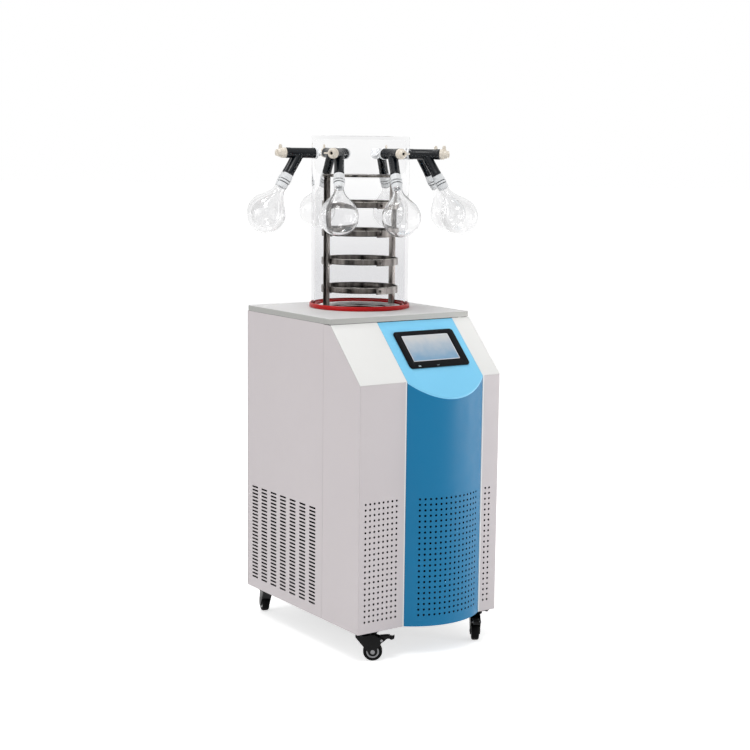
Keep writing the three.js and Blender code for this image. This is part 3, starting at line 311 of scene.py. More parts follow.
@dataclass(frozen=True)
class Moulded:
    """Moulded plastic or rubber with a fine grain and slight handling marks."""

    name: str
    tone: Colour
    gloss: float = 0.4
    grain: float = 900
    relief: float = 0.15
    metal: float = 0.0
    shine: float = 0.5

    def make(self) -> bpy.types.Material:
        """Builds the material."""
        recipe = Recipe(self.name)
        recipe.mottle(self.tone, 0.8, recipe.noise(14, 4))
        recipe.roughness(recipe.spread(recipe.noise(60, 4), self.gloss - 0.07, self.gloss + 0.09))
        recipe.bump(recipe.noise(self.grain, 3), self.relief, 0.0001)
        recipe.coat(Metallic=self.metal, Specular_IOR_Level=self.shine)
        return recipe.material


@dataclass(frozen=True)
class Display:
    """Lit display under a thin pane: a field that runs from pale grey down to sky blue."""

    name: str
    low: Colour
    high: Colour
    node: str
    reach: float = 0.034
    tilt: float = math.radians(45)

    def make(self) -> bpy.types.Material:
        """Builds the material."""
        recipe = Recipe(self.name)
        start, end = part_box(self.node)
        flat = recipe.node("SeparateXYZ")
        recipe.join(recipe.mapped((1, 1, 1), (-self.tilt, 0, 0), (start + end) / 2), flat.inputs[0])
        rise = recipe.spread(flat.outputs["Y"], 0, 1, -self.reach, self.reach)
        cloud = recipe.spread(recipe.noise(40, 3), -0.12, 0.12, 0.3, 0.7)
        mixed = recipe.node("Math", operation="ADD", use_clamp=True)
        recipe.join(rise, mixed.inputs[0])
        recipe.join(cloud, mixed.inputs[1])
        recipe.colour(recipe.blend(mixed.outputs[0], self.low, self.high))
        recipe.roughness(recipe.spread(recipe.noise(60, 2), 0.1, 0.16))
        recipe.coat(Specular_IOR_Level=0.3)
        return recipe.material


@dataclass(frozen=True)
class ReflectionBandedSteel:
    """Rolled and spun steel with painted reflections: broad bands of light and dark that run up a rim and
    outwards over a disc; the fine grain is the steel's own.
    """

    name: str
    dark: Colour
    pale: Colour
    bands: float = 34
    gloss: float = 0.34
    reach: float = 0.1

    def make(self) -> bpy.types.Material:
        """Builds the material."""
        recipe = Recipe(self.name)
        axis = Places.chamber().translation
        round_axis = recipe.node("VectorMath", operation="NORMALIZE")
        recipe.join(recipe.mapped((1, 1, 0), centre=axis), round_axis.inputs[0])
        ring = recipe.node("VectorMath", operation="SCALE")
        ring.inputs["Scale"].default_value = self.reach
        recipe.join(round_axis.outputs[0], ring.inputs[0])
        rise = recipe.node("VectorMath", operation="ADD")
        recipe.join(ring.outputs[0], rise.inputs[0])
        recipe.join(recipe.mapped((0.04, 0.04, 0.06)), rise.inputs[1])
        broad = recipe.noise(self.bands, 2, rise.outputs[0])
        fine = recipe.noise(self.bands * 9, 3, rise.outputs[0])
        # The broad bands between dark and pale are painted reflection of polished steel.
        tone = recipe.blend(recipe.spread(broad, 0, 1, 0.36, 0.66), self.dark, self.pale)
        grey = tuple((a + b) / 3 for a, b in zip(self.dark, self.pale))
        recipe.colour(recipe.blend(recipe.spread(fine, 0, 0.5, 0.4, 0.7), tone, grey))
        recipe.roughness(recipe.spread(fine, self.gloss - 0.08, self.gloss + 0.1))
        recipe.bump(fine, 0.2, 0.00005)
        recipe.coat(Metallic=1.0)
        return recipe.material


@dataclass(frozen=True)
class ClearShell:
    """Glass or acrylic that lets the lamps through and greys with depth, its colour greyer towards its foot.
    """

    name: str
    foot: Colour
    top: Colour
    index: float = 1.47
    depth: float = 2.0
    levels: tuple[float, float] = (0.0, 1.0)
    gloss: float = 0.02

    def make(self) -> bpy.types.Material:
        """Builds the material."""
        recipe = Recipe(self.name)
        recipe.coat(Transmission_Weight=1.0, IOR=self.index)
        height = recipe.node("SeparateXYZ")
        recipe.join(recipe.coordinates.outputs["Object"], height.inputs[0])
        # Colour runs from the foot's grey at the low level to the top's at the high level.
        foot_to_top = recipe.spread(height.outputs["Z"], 0, 1, *self.levels)
        even = recipe.blend(foot_to_top, self.foot, self.top)
        faint = tuple(c * 0.985 for c in self.foot)
        recipe.colour(recipe.blend(recipe.spread(recipe.noise(9, 3), 0.3, 0, 0.3, 0.7), even, faint))
        recipe.roughness(recipe.spread(recipe.noise(25, 4), self.gloss, self.gloss + 0.03))
        clear = recipe.node("BsdfTransparent")
        rays = recipe.node("LightPath")
        mix = recipe.node("MixShader")
        recipe.join(rays.outputs["Is Shadow Ray"], mix.inputs[0])
        recipe.join(recipe.shader.outputs["BSDF"], mix.inputs[1])
        recipe.join(clear.outputs["BSDF"], mix.inputs[2])
        recipe.join(mix.outputs[0], recipe.output.inputs["Surface"])
        inside = recipe.node("VolumeAbsorption")
        inside.inputs["Color"].default_value = (0.5, 0.5, 0.51, 1.0)
        inside.inputs["Density"].default_value = self.depth
        recipe.join(inside.outputs["Volume"], recipe.output.inputs["Volume"])
        return recipe.material


class Finish(Enum):
    """Finishes of the machine, each with its record slot and the material's maker."""

    WHITE = ("white_paint", PowderCoat("white_powder_coat", linear(243, 243, 241)))
    BLUE = ("blue_paint", PowderCoat("blue_powder_coat", linear(6, 121, 170), 0.42, shine=0.3))
    SKY = ("sky_paint", PowderCoat("sky_powder_coat", linear(134, 215, 253), 0.36, shine=0.3))
    GREY = ("grey_paint", PowderCoat("warm_grey_powder_coat", linear(211, 204, 206), drift=0.03))
    # Near-black painted shade for the sheets' insides and the walls of their holes, where the grey paint lies
    # in shade.
    INNER = ("grey_paint", Moulded("painted_shade_black", linear(9, 9, 10), 0.7, shine=0.1))
    DECK = ("deck_steel", BrushedSteel("brushed_deck", linear(224, 223, 223), gloss=0.55, metal=0.1,
                                       shine=0.1))
    # Darker copy of the deck steel: painted shade on the deck's folded-down edge, its underside and its cut
    # edges.
    FOLD = ("deck_steel", BrushedSteel("deck_edge_painted_shade", linear(180, 180, 177), gloss=0.5, metal=0.3, shine=0.2))
    ZINC = ("zinc", BrushedSteel("zinc_plate", linear(70, 71, 71), (90, 120, 90), 0.42))
    # Rack and tray steel carry painted reflection bands.
    RACK = ("dark_steel", ReflectionBandedSteel("rack_steel", linear(64, 60, 58), linear(182, 176, 171), 44))
    TRAY = ("dark_steel", ReflectionBandedSteel("tray_steel", linear(34, 32, 31), linear(132, 127, 122), 44))
    BRIGHT = ("zinc", BrushedSteel("bright_steel", linear(252, 251, 249), (120, 120, 120), 0.35, 0.05))
    # Paler copy of the tray steel: a painted highlight along the trays' rolled rims.
    EDGE = ("dark_steel", BrushedSteel("tray_rim_painted_highlight", linear(168, 164, 159), (60, 60, 60), 0.3))
    # Near-black steel: painted shade inside the cold trap's cup.
    TRAP = ("dark_steel", BrushedSteel("trap_painted_shade", linear(15, 15, 15), (40, 40, 12), 0.6, 0.2, 0.1))
    BLACK = ("black_plastic", Moulded("black_plastic", linear(12, 13, 17), 0.34, shine=0.08))
    SCREEN = ("display", Display("display_field", linear(128, 166, 196), linear(206, 209, 211),
                                 "screen_glass"))
    MARGIN = ("display", Moulded("display_margin", linear(232, 234, 240), 0.14, 900, 0.01))
    MARK = ("display", Moulded("pale_print", linear(188, 206, 210), 0.3, 900, 0.01))
    GASKET = ("red_silicone", Moulded("red_silicone", linear(186, 18, 19), 0.32, shine=0.2))
    ACRYLIC = ("acrylic", ClearShell("acrylic", linear(236, 236, 237), linear(255, 255, 255), 1.012, 0.8,
                                     (0.96, 1.2)))
    GLASS = ("flask_glass", ClearShell("flask_glass", linear(247, 247, 248), linear(250, 250, 250), 1.42, 14))
    RUBBER = ("valve_rubber", Moulded("valve_rubber", linear(4, 11, 18), 0.24, shine=0.32))
    CREAM = ("cream_plastic", Moulded("cream_plastic", linear(234, 225, 211), 0.34))
    SLEEVE = ("cream_plastic", Moulded("sleeve_plastic", linear(240, 242, 244), 0.36))
    CASTER = ("caster_steel", Moulded("caster_black", linear(8, 8, 9), 0.36, shine=0.14))
    RING = ("caster_steel", Moulded("hub_ring", linear(150, 150, 152), 0.4, metal=0.4))
    TREAD = ("caster_tread", Moulded("tyre_black", linear(10, 10, 11), 0.6, shine=0.08))
    IRON = ("cast_iron", Moulded("compressor_black", linear(26, 27, 29), 0.45, shine=0.2))

    def __init__(self, slot: str, maker: Maker) -> None:
        """Keeps the slot and the maker, and leaves the material to be made once.

        Args:
            slot: The record's slot.
            maker: What makes the material.
        """
        self.slot_name = slot
        self.maker = maker
        self.made: bpy.types.Material | None = None

    @property
    def material(self) -> bpy.types.Material:
        """Gives the finish's one material, made at its first use."""
        if self.made is None:
            self.made = self.maker.make()
        return self.made


# ---------------------------------------------------------------- modelling


class Shape:
    """A mesh in the making, in millimetres, worked on with Blender's mesh operators."""

    def __init__(self) -> None:
        """Starts an empty mesh."""
        self.mesh = bmesh.new()

    def line(self, points: Iterable[Sequence[float]], close: bool = False) -> list[Edge]:
        """Draws edges through points.

        Args:
            points: Places of the vertices, in order.
            close: Whether the last point joins the first.

        Returns:
            The new edges.
        """
        verts = [self.mesh.verts.new(point) for point in points]
        pairs = list(zip(verts, verts[1:])) + ([(verts[-1], verts[0])] if close else [])
        return [self.mesh.edges.new(pair) for pair in pairs]

    def settle(self) -> "Shape":
        """Merges doubled vertices and turns the faces outwards."""
        bmesh.ops.remove_doubles(self.mesh, verts=self.mesh.verts[:], dist=MERGE)
        bmesh.ops.recalc_face_normals(self.mesh, faces=self.mesh.faces[:])
        return self

    def lathe(self, profile: Iterable[Point], steps: int = 48, close: bool = False) -> "Shape":
        """Spins a profile of radius and height once round Z.

        Args:
            profile: Radius and height of each point.
            steps: Segments of the full turn.
            close: Whether the profile closes on itself.

        Returns:
            This shape.
        """
        other = Shape()
        edges = other.line([(radius, 0, height) for radius, height in profile], close)
        verts = list(dict.fromkeys(vert for edge in edges for vert in edge.verts))
        bmesh.ops.spin(other.mesh, geom=verts + edges, cent=(0, 0, 0), axis=(0, 0, 1), dvec=(0, 0, 0),
                       angle=math.tau, steps=steps, use_merge=True, use_duplicate=False)
        return self.add(other.settle())

    def slab(self, outline: Sequence[Point], low: float, high: float,
             holes: Sequence[Sequence[Point]] = ()) -> "Shape":
        """Fills an outline in X and Y, leaves holes in it and extrudes it from low to high.

        Args:
            outline: The outer loop.
            low: Height of the underside.
            high: Height of the top.
            holes: Inner loops.

        Returns:
            This shape.
        """
        other = Shape()
        edges = [edge for loop in (outline, *holes)
                 for edge in other.line([(x, y, low) for x, y in loop], True)]
        if holes:
            bmesh.ops.triangle_fill(other.mesh, use_beauty=True, edges=edges)
            bmesh.ops.dissolve_limit(other.mesh, angle_limit=0.01, verts=other.mesh.verts[:],
                                     edges=other.mesh.edges[:], use_dissolve_boundaries=False)
        else:
            bmesh.ops.contextual_create(other.mesh, geom=edges)
        grown = bmesh.ops.extrude_face_region(other.mesh, geom=other.mesh.faces[:])
        rise = [item for item in grown["geom"] if isinstance(item, bmesh.types.BMVert)]
        bmesh.ops.translate(other.mesh, verts=rise, vec=(0, 0, high - low))
        return self.add(other.settle())

    def sheet(self, across: Sequence[float], up: Sequence[float]) -> "Shape":
        """Lays a flat grid that faces -Y, with its lines at the given places along X and Z.

        Args:
            across: Places of the upright lines along X.
            up: Heights of the level lines.

        Returns:
            This shape.
        """
        made = bmesh.ops.create_grid(self.mesh, x_segments=len(across) - 1, y_segments=len(up) - 1, size=0.5)
        for index, vert in enumerate(made["verts"]):
            vert.co = (across[index % len(across)], 0, up[index // len(across)])
        return self

    def punch(self, inside: Callable[[float, float], bool], width: float, height: float,
              cuts: int = 2) -> "Shape":
        """Punches a round-ended hole in the middle of each cell of a flat grid that is chosen.

        Args:
            inside: Says from a cell's middle whether it gets a hole.
            width: Hole's size along X.
            height: Hole's size along Z.
            cuts: Vertices added to each side of the hole's rim.

        Returns:
            This shape.
        """
        cells = [face for face in self.mesh.faces if inside(face.calc_center_bounds().x,
                                                            face.calc_center_bounds().z)]
        bmesh.ops.inset_individual(self.mesh, faces=cells, thickness=min(width, height) / 10)
        for face in cells:
            centre = face.calc_center_bounds()
            for edge in list(face.edges):
                corner = edge.verts[0]
                for cut in range(cuts, 0, -1):
                    _, corner = bmesh.utils.edge_split(edge, corner, 1 / (cut + 1))
            rim = sorted(face.verts,
                         key=lambda v: math.atan2(v.co.z - centre.z, v.co.x - centre.x) % math.tau)
            core, radius = (width - height) / 2, min(width, height) / 2
            for index, vert in enumerate(rim):
                angle = (index + 0.5) * math.tau / len(rim)
                side = math.copysign(core, math.cos(angle))
                vert.co = centre + Vector((side + radius * math.cos(angle), 0, radius * math.sin(angle)))
        bmesh.ops.delete(self.mesh, geom=cells, context="FACES")
        return self

    def bend(self, route: "Route") -> "Shape":
        """Folds a flat sheet so that its X follows a route in plan."""
        for vert in self.mesh.verts:
            x, y = route.at(vert.co.x)
            vert.co = (x, y, vert.co.z)
        return self

    def trim(self, point: Sequence[float], normal: Sequence[float]) -> "Shape":
        """Cuts away what lies on the normal's side of a plane."""
        bmesh.ops.bisect_plane(self.mesh, geom=[*self.mesh.verts, *self.mesh.edges, *self.mesh.faces],
                               plane_co=point, plane_no=normal, clear_outer=True)
        return self

    def soften(self, width: float, segments: int = 2, sharper: float = 30,
               chosen: Callable[[Edge], bool] | None = None) -> "Shape":
        """Rounds the edges that are sharper than an angle.

        Args:
            width: Distance from the edge to the rounding's sides.
            segments: Facets of the rounding.
            sharper: Least angle between the faces, in degrees.
            chosen: Says whether an edge is rounded, beyond the angle.

        Returns:
            This shape.
        """
        edges = [edge for edge in self.mesh.edges if edge.is_manifold
                 and edge.calc_face_angle(0) > math.radians(sharper) and (chosen is None or chosen(edge))]
        bmesh.ops.bevel(self.mesh, geom=edges, offset=width, offset_type="OFFSET", affect="EDGES",
                        segments=segments, profile=0.5, material=-1, clamp_overlap=True)
        return self

    def moved(self, place: Matrix) -> "Shape":
        """Moves everything made so far.

        Args:
            place: The move.

        Returns:
            This shape.
        """
        bmesh.ops.transform(self.mesh, matrix=place, verts=self.mesh.verts[:])
        if place.determinant() < 0:
            bmesh.ops.reverse_faces(self.mesh, faces=self.mesh.faces[:])
        return self

    def add(self, other: "Shape") -> "Shape":
        """Takes another shape's mesh in and frees it.

        Args:
            other: The shape to take in.

        Returns:
            This shape.
        """
        loose = bpy.data.meshes.new("loose")
        other.mesh.to_mesh(loose)
        other.mesh.free()
        self.mesh.from_mesh(loose)
        bpy.data.meshes.remove(loose)
        return self

    def deliver(self, name: str, finish: Finish, place: Matrix, stands_for: Sequence[str] = (),
                body: str = "cabinet", wall: float = 0.0, crease: float = 32,
                lining: Finish | None = None) -> None:
        """Turns the shape into a finished piece in the row's frame.

        Args:
            name: The piece's name.
            finish: Its finish.
            place: From the shape's own frame to the row's, in metres.
            stands_for: Frame nodes that it stands for.
            body: The body that it rides on.
            wall: Thickness that the faces get inwards, or none.
            crease: Angle in degrees above which an edge stays sharp.
            lining: Finish of the walled sheet's inner side and edges, if it has its own.
        """
        self.moved(place @ Matrix.Scale(MM, 4))
        for face in self.mesh.faces:
            face.smooth = True
        for edge in self.mesh.edges:
            edge.smooth = edge.is_manifold and edge.calc_face_angle(0) < math.radians(crease)
        mesh = bpy.data.meshes.new(name)
        self.mesh.to_mesh(mesh)
        self.mesh.free()
        mesh.materials.append(finish.material)
        piece = bpy.data.objects.new(name, mesh)
        bpy.context.scene.collection.objects.link(piece)
        if wall:
            sheet = piece.modifiers.new("sheet", "SOLIDIFY")
            sheet.thickness, sheet.offset, sheet.use_even_offset = wall * MM, -1, True
            if lining is not None:
                mesh.materials.append(lining.material)
                sheet.material_offset = sheet.material_offset_rim = 1
        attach(piece, body)
        if stands_for:
            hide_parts(*stands_for)
        log.info("%s: %d faces on %s", name, len(mesh.polygons), body)


class Route:
    """A sheet's line in plan, with rounded corners, measured along its length."""

    def __init__(self, corners: Sequence[Point], radius: float = 2.5, steps: int = 4) -> None:
        """Rounds the corners that turn by more than 20 degrees and measures the line.

        Args:
            corners: The line's points in plan.
            radius: Radius of a rounded corner.
            steps: Segments of a rounded corner.
        """
        points = [Vector(corners[0])]
        for before, here, after in zip(corners, corners[1:], corners[2:]):
            arrive = (Vector(here) - Vector(before)).normalized()
            leave = (Vector(after) - Vector(here)).normalized()
            turn = arrive.angle_signed(leave, 0)
            if abs(turn) < math.radians(20):
                points.append(Vector(here))
                continue
            reach = radius * math.tan(abs(turn) / 2)
            points.append(Vector(here) - arrive * (reach + 1))
            for step in range(steps + 1):
                part = step / steps
                first = Vector(here) - arrive * reach * (1 - part)
                second = Vector(here) + leave * reach * part
                points.append(first.lerp(second, part))
            points.append(Vector(here) + leave * (reach + 1))
        points.append(Vector(corners[-1]))
        self.points = points
        self.marks = [0.0]
        for first, second in zip(points, points[1:]):
            self.marks.append(self.marks[-1] + (second - first).length)
        self.length = self.marks[-1]

    def at(self, distance: float) -> Point:
        """Gives the point at a distance along the line.

        Args:
            distance: Length from the line's start.

        Returns:
            The point in plan.
        """
        last = len(self.marks) - 2
        index = next((i for i in range(last) if distance < self.marks[i + 1]), last)
        share = (distance - self.marks[index]) / (self.marks[index + 1] - self.marks[index])
        return tuple(self.points[index].lerp(self.points[index + 1], share))

    def where(self, x: float | None = None, y: float | None = None) -> float:
        """Gives the distance at which the line's longest crossing segment reaches an X or a Y.

        Args:
            x: The X to reach, or none.
            y: The Y to reach, if there is no X.

        Returns:
            Length from the line's start.
        """
        axis, goal = (0, x) if x is not None else (1, y)
        spans = [(abs(b[axis] - a[axis]), i) for i, (a, b) in enumerate(zip(self.points, self.points[1:]))
                 if min(a[axis], b[axis]) - 1e-6 <= goal <= max(a[axis], b[axis]) + 1e-6]
        _, index = max(spans)
        a, b = self.points[index], self.points[index + 1]
        span = self.marks[index + 1] - self.marks[index]
        return self.marks[index] + (goal - a[axis]) / (b[axis] - a[axis]) * span

    def lines(self, extra: Iterable[float]) -> list[float]:
        """Gives the grid lines of a sheet on this line: its own points and some more, in order.

        Args:
            extra: Distances of the further lines.

        Returns:
            Distances along the line.
        """
        merged: list[float] = []
        for mark in sorted([*extra, *self.marks]):
            if not merged or mark - merged[-1] > 0.05:
                merged.append(mark)
        return merged


def circle(radius: float, steps: int, centre: Point = (0, 0), start: float = 0,
           sweep: float = 360) -> list[Point]:
    """Gives points on a circle or, with a sweep below 360 degrees, on an arc with both its ends.

    Args:
        radius: The circle's radius.
        steps: Segments of the circle or arc.
        centre: Its centre.
        start: Bearing of the first point, in degrees.
        sweep: Degrees that the points cover.

    Returns:
        The points in order.
    """
    count = steps if sweep >= 360 else steps + 1
    angles = (math.radians(start + sweep * step / steps) for step in range(count))
    return [(centre[0] + radius * math.cos(a), centre[1] + radius * math.sin(a)) for a in angles]


def rectangle(width: float, height: float, corner: float = 0, centre: Point = (0, 0),
              steps: int = 5) -> list[Point]:
    """Gives a rectangle's outline with rounded corners.

    Args:
        width: Size along X.
        height: Size along Y.
        corner: Radius of the corners, or 0 for sharp ones.
        centre: The middle.
        steps: Segments of each corner.

    Returns:
        The outline's points in order.
    """
    if corner <= 0:
        return [(centre[0] + sx * width / 2, centre[1] + sy * height / 2)
                for sx, sy in ((-1, -1), (1, -1), (1, 1), (-1, 1))]
    made: list[Point] = []
    for index, (sx, sy) in enumerate(((1, 1), (-1, 1), (-1, -1), (1, -1))):
        middle = (centre[0] + sx * (width / 2 - corner), centre[1] + sy * (height / 2 - corner))
        made += circle(corner, steps, middle, 90 * index, 90)
    return made


def turned(angle: float, axis: str = "Z") -> Matrix:
    """Gives a turn in degrees about an axis."""
    return Matrix.Rotation(math.radians(angle), 4, axis)


def shifted(x: float = 0, y: float = 0, z: float = 0) -> Matrix:
    """Gives a shift."""
    return Matrix.Translation((x, y, z))


class Places:
    """Where the sub-assemblies stand in the row's frame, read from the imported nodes."""

    @staticmethod
    def cabinet() -> Matrix:
        """Gives the cabinet's own frame: middle in plan, 80 mm below the panels' foot."""
        low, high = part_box("top_deck")
        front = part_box("front_shell")[0]
        return shifted((low.x + high.x) / 2, (front.y + high.y) / 2, front.z - 80 * MM)

    @staticmethod
    def chamber() -> Matrix:
        """Gives the chamber's frame: its axis, at the deck's top."""
        low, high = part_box("chamber")
        return shifted((low.x + high.x) / 2, (low.y + high.y) / 2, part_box("top_deck")[1].z)

    @staticmethod
    def caster(number: int) -> Matrix:
        """Gives a caster's frame: on its kingpin, 25 mm below its axle, with the trail along +X.

        Args:
            number: The caster's number.

        Returns:
            From the caster's own frame to the row's.
        """
        low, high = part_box(f"caster_plate_{number}")
        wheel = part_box(f"caster_wheel_{number}")
        pin = (low + high) / 2
        axle = (wheel[0] + wheel[1]) / 2
        trail = axle - pin
        return shifted(pin.x, pin.y, axle.z - 25 * MM) @ Matrix.Rotation(math.atan2(trail.y, trail.x), 4, "Z")


@dataclass
class Cabinet:
    """Folded and punched panels, console and deck of the floor cabinet."""

    width: float = 436
    depth: float = 550
    base: float = 80
    foot: float = 708
    slope_rise: float = 136
    flank: float = 166
    cover_left: float = -77
    cover_right: float = 162
    bulge: float = 42
    seam: float = 0.8
    wall: float = 2
    jamb: float = 4
    jamb_depth: float = 14
    fold: float = 12
    fit: float = 0.3
    cover_sink: float = 3.05
    cover_line: float = 760
    hole: float = 6
    pitch: float = 14.3
    hole_rows: int = 22
    first_row: float = 30
    strip_columns: Sequence[float] = (-198, -184.6, -171.2, -157.8, -144.4, -131, -117.6, -104.2)
    narrow_columns: Sequence[float] = (177.5, 190.5)
    slot_size: tuple[float, float] = (30.4, 5)
    slot_columns: int = 7
    slot_rows: int = 27
    slot_first: tuple[float, float] = (233.5, 111.2)
    slot_pitch: tuple[float, float] = (48.9, 9.71)
    deck_height: float = 15
    deck_hole: float = 76.8
    chamber_at: Point = (22, 90)
    console_at: Point = (45, 96)
    console_opening: tuple[float, float] = (174, 104)
    inlet: tuple[float, float] = (50, 30)
    inlet_at: Point = (130, 190)
    port: float = 12.5
    port_at: Point = (-120, 240)
    screw: float = 3.6
    # Thickness of the dark sheets of painted shade inside the cabinet.
    shade_sheet_thickness: float = 1
    place: Matrix = field(default_factory=Places.cabinet)

    def __post_init__(self) -> None:
        """Works out the edges that the panels share."""
        self.left, self.right = -self.width / 2, self.width / 2
        self.front, self.back = -self.depth / 2, self.depth / 2
        self.top = self.foot + self.slope_rise
        self.slope_back = self.front + self.slope_rise
        self.flank_end = self.front + self.flank
        self.hole_lines = [self.base + self.first_row + (row - 0.5) * self.pitch
                           for row in range(self.hole_rows + 1)]

    def build(self) -> None:
        """Builds every panel."""
        self.strips()
        self.slopes()
        self.cover()
        self.fascia()
        self.sides()
        self.rear()
        self.baffles()
        self.deck()

    def below_slope(self, sink: float = 0) -> tuple[tuple[float, float, float], tuple[float, float, float]]:
        """Gives a point and a normal of the slope's plane, moved inwards by a distance."""
        shift = sink * math.sqrt(0.5)
        return (0, self.front + shift, self.foot - shift), (0, -1, 1)

    def strips(self) -> None:
        """Builds the two punched strips beside the cover, each folded back into its flank."""
        point, normal = self.below_slope(self.fit)
        for name, corners, columns in (
            ("front_strip_left", [(self.left, self.flank_end), (self.left, self.front),
                                  (self.cover_left - self.jamb, self.front)], self.strip_columns),
            ("front_strip_right", [(self.cover_right + self.jamb, self.front), (self.right, self.front),
                                   (self.right, self.flank_end)], self.narrow_columns),
        ):
            route = Route(corners)
            half = (columns[1] - columns[0]) / 2
            edges = [route.where(x=x) for x in (columns[0] - half, *(x + half for x in columns))]
            spots = [route.where(x=x) for x in columns]
            rows = sorted([self.base, *self.hole_lines, self.foot, self.top])
            shape = Shape().sheet(route.lines(edges), rows)
            shape.punch(lambda x, z: self.in_rows(z) and any(abs(x - s) < 1 for s in spots),
                        self.hole, self.hole)
            shape.bend(route).trim(point, normal).trim((0, 0, self.top - 1), (0, 0, 1))
            # Inside and hole walls in near-black painted shade.
            shape.deliver(name, Finish.GREY, self.place, ["front_shell"], wall=self.wall,
                          lining=Finish.INNER)
        for name, edge, side in (("jamb_left", self.cover_left, -1), ("jamb_right", self.cover_right, 1)):
            corners = [(edge + side * self.jamb, self.front), (edge, self.front),
                       (edge, self.front + self.jamb_depth)]
            route = Route(corners if side < 0 else corners[::-1], 1.2)
            shape = Shape().sheet(route.lines([]), [self.base, self.foot, self.top])
            shape.bend(route).trim(point, normal)
            shape.deliver(name, Finish.WHITE, self.place, wall=self.wall)

    def in_rows(self, height: float) -> bool:
        """Says whether a height lies within the rows of holes."""
        return self.hole_lines[0] < height < self.hole_lines[-1]

    def on_slope(self) -> Matrix:
        """Gives the slope's frame: X across, Y up the slope and Z out of it, at the slope's foot."""
        return shifted(0, self.front, self.foot) @ turned(45, "X")

    def slopes(self) -> None:
        """Builds the two white slopes beside the console."""
        length = self.slope_rise * math.sqrt(2)
        for name, low, high in (("slope_left", self.left, self.cover_left),
                                ("slope_right", self.cover_right, self.right)):
            outline = [(low, 0), (high, 0), (high, length), (low, length)]
            shape = Shape().slab(outline, -self.wall, 0).soften(0.9, 3)
            shape.moved(self.on_slope()).deliver(name, Finish.WHITE, self.place)

    def bulge_line(self, inset: float = 0, steps: int = 18) -> list[Point]:
        """Gives the cover's arc in plan, from left to right.

        Args:
            inset: Distance that the arc is moved inwards.
            steps: Segments of the arc.

        Returns:
            The arc's points.
        """
        half = (self.cover_right - self.cover_left) / 2 - self.seam
        radius = (half ** 2 + self.bulge ** 2) / (2 * self.bulge)
        middle = ((self.cover_left + self.cover_right) / 2, self.front - self.bulge + radius)
        reach = math.degrees(math.asin(half / radius))
        return circle(radius - inset, steps, middle, -90 - reach, 2 * reach)

    def cover(self, steps: int = 18, bare: int = 2) -> None:
        """Builds the bulged, punched cover with its folded edges and its floor.

        Args:
            steps: Facets of the arc.
            bare: Facets left unpunched at each edge.
        """
        arc = self.bulge_line(0, steps)
        ends = self.front + self.fold
        route = Route([(arc[0][0], ends), *arc, (arc[-1][0], ends)], 1.5)
        facet = math.dist(arc[0], arc[1])
        start = (route.length - steps * facet) / 2
        spots = [start + (column + 0.5) * facet for column in range(bare, steps - bare)]
        rows = sorted([self.base, *self.hole_lines, self.foot, self.cover_line, self.top])
        shape = Shape().sheet(route.lines([]), rows)
        shape.punch(lambda x, z: self.in_rows(z) and any(abs(x - s) < 2 for s in spots), self.hole, self.hole)
        shape.bend(route).trim(*self.below_slope(self.cover_sink))
        # Inside and hole walls in near-black painted shade.
        shape.deliver("cover_skin", Finish.BLUE, self.place, ["front_cover"], wall=self.wall,
                      lining=Finish.INNER)
        fine = self.bulge_line(2.2, 48)
        floor = [*fine, (fine[-1][0] - self.wall, ends), (fine[0][0] + self.wall, ends)]
        Shape().slab(floor, self.base, self.base + self.wall).deliver(
            "cover_floor", Finish.BLUE, self.place)

    @staticmethod
    def rounded(edge: Edge, corners: list[tuple[float, float]]) -> bool:
        """Says whether an edge is on the plate's face, or upright at one of the corners.

        Args:
            edge: An edge of the plate, which lies under its face at height 0.
            corners: Places of the upright edges that are rounded.

        Returns:
            Whether the edge is rounded.
        """
        lower, upper = sorted(edge.verts, key=lambda vert: vert.co.z)
        at_corner = any(math.dist(upper.co.xy, corner) < 1 for corner in corners)
        return lower.co.z > -1 or (upper.co.z > -1 and at_corner)

    def fascia(self) -> None:
        """Builds the light blue plate under the console, with its curved lip over the cover."""
        rise = math.sqrt(2)
        lip = [(x, (y - self.front) * rise) for x, y in self.bulge_line(0, 72)]
        top = (self.slope_rise - self.seam) * rise
        outline = [*lip, (lip[-1][0], top), (lip[0][0], top)]
        opening = rectangle(*self.console_opening, 0, self.console_at)
        shape = Shape().slab(outline, -3, 0, [opening])
        for vert in shape.mesh.verts:
            if vert.co.z < -1 and vert.co.y < 0.5:
                vert.co.y -= 3
        corners = [lip[0], lip[-1], *outline[-2:], opening[0]]
        shape.soften(0.7, 2, chosen=lambda edge: self.rounded(edge, corners))
        shape.moved(self.on_slope()).deliver(
            "console_plate", Finish.SKY, self.place, ["control_fascia"])

    def sides(self) -> None:
        """Builds the slotted side panels with their folded edges."""
        near, far = self.flank_end + self.seam, self.back - 2.3
        rows = [self.slot_first[1] + (row - 0.5) * self.slot_pitch[1] for row in range(self.slot_rows + 1)]
        middles = [self.slot_first[0] - column * self.slot_pitch[0] for column in range(self.slot_columns)]
        for name, node, side in (("side_left", "side_panel_left", -1), ("side_right", "side_panel_right", 1)):
            skin = side * self.right
            inner = skin - side * self.fold
            corners = [(inner, far), (skin, far), (skin, near), (inner, near)]
            route = Route(corners if side < 0 else corners[::-1])
            half = self.slot_pitch[0] / 2
            edges = [route.where(y=y) for y in (middles[0] + half, *(y - half for y in middles))]
            spots = [route.where(y=y) for y in middles]
            shape = Shape().sheet(route.lines(edges), [self.base, *rows, self.top])
            shape.punch(lambda x, z: rows[0] < z < rows[-1] and any(abs(x - s) < 2 for s in spots),
                        *self.slot_size)
            # Inside and slot walls in near-black painted shade.
            shape.bend(route).deliver(name, Finish.GREY, self.place, [node], wall=self.wall,
                                      lining=Finish.INNER)

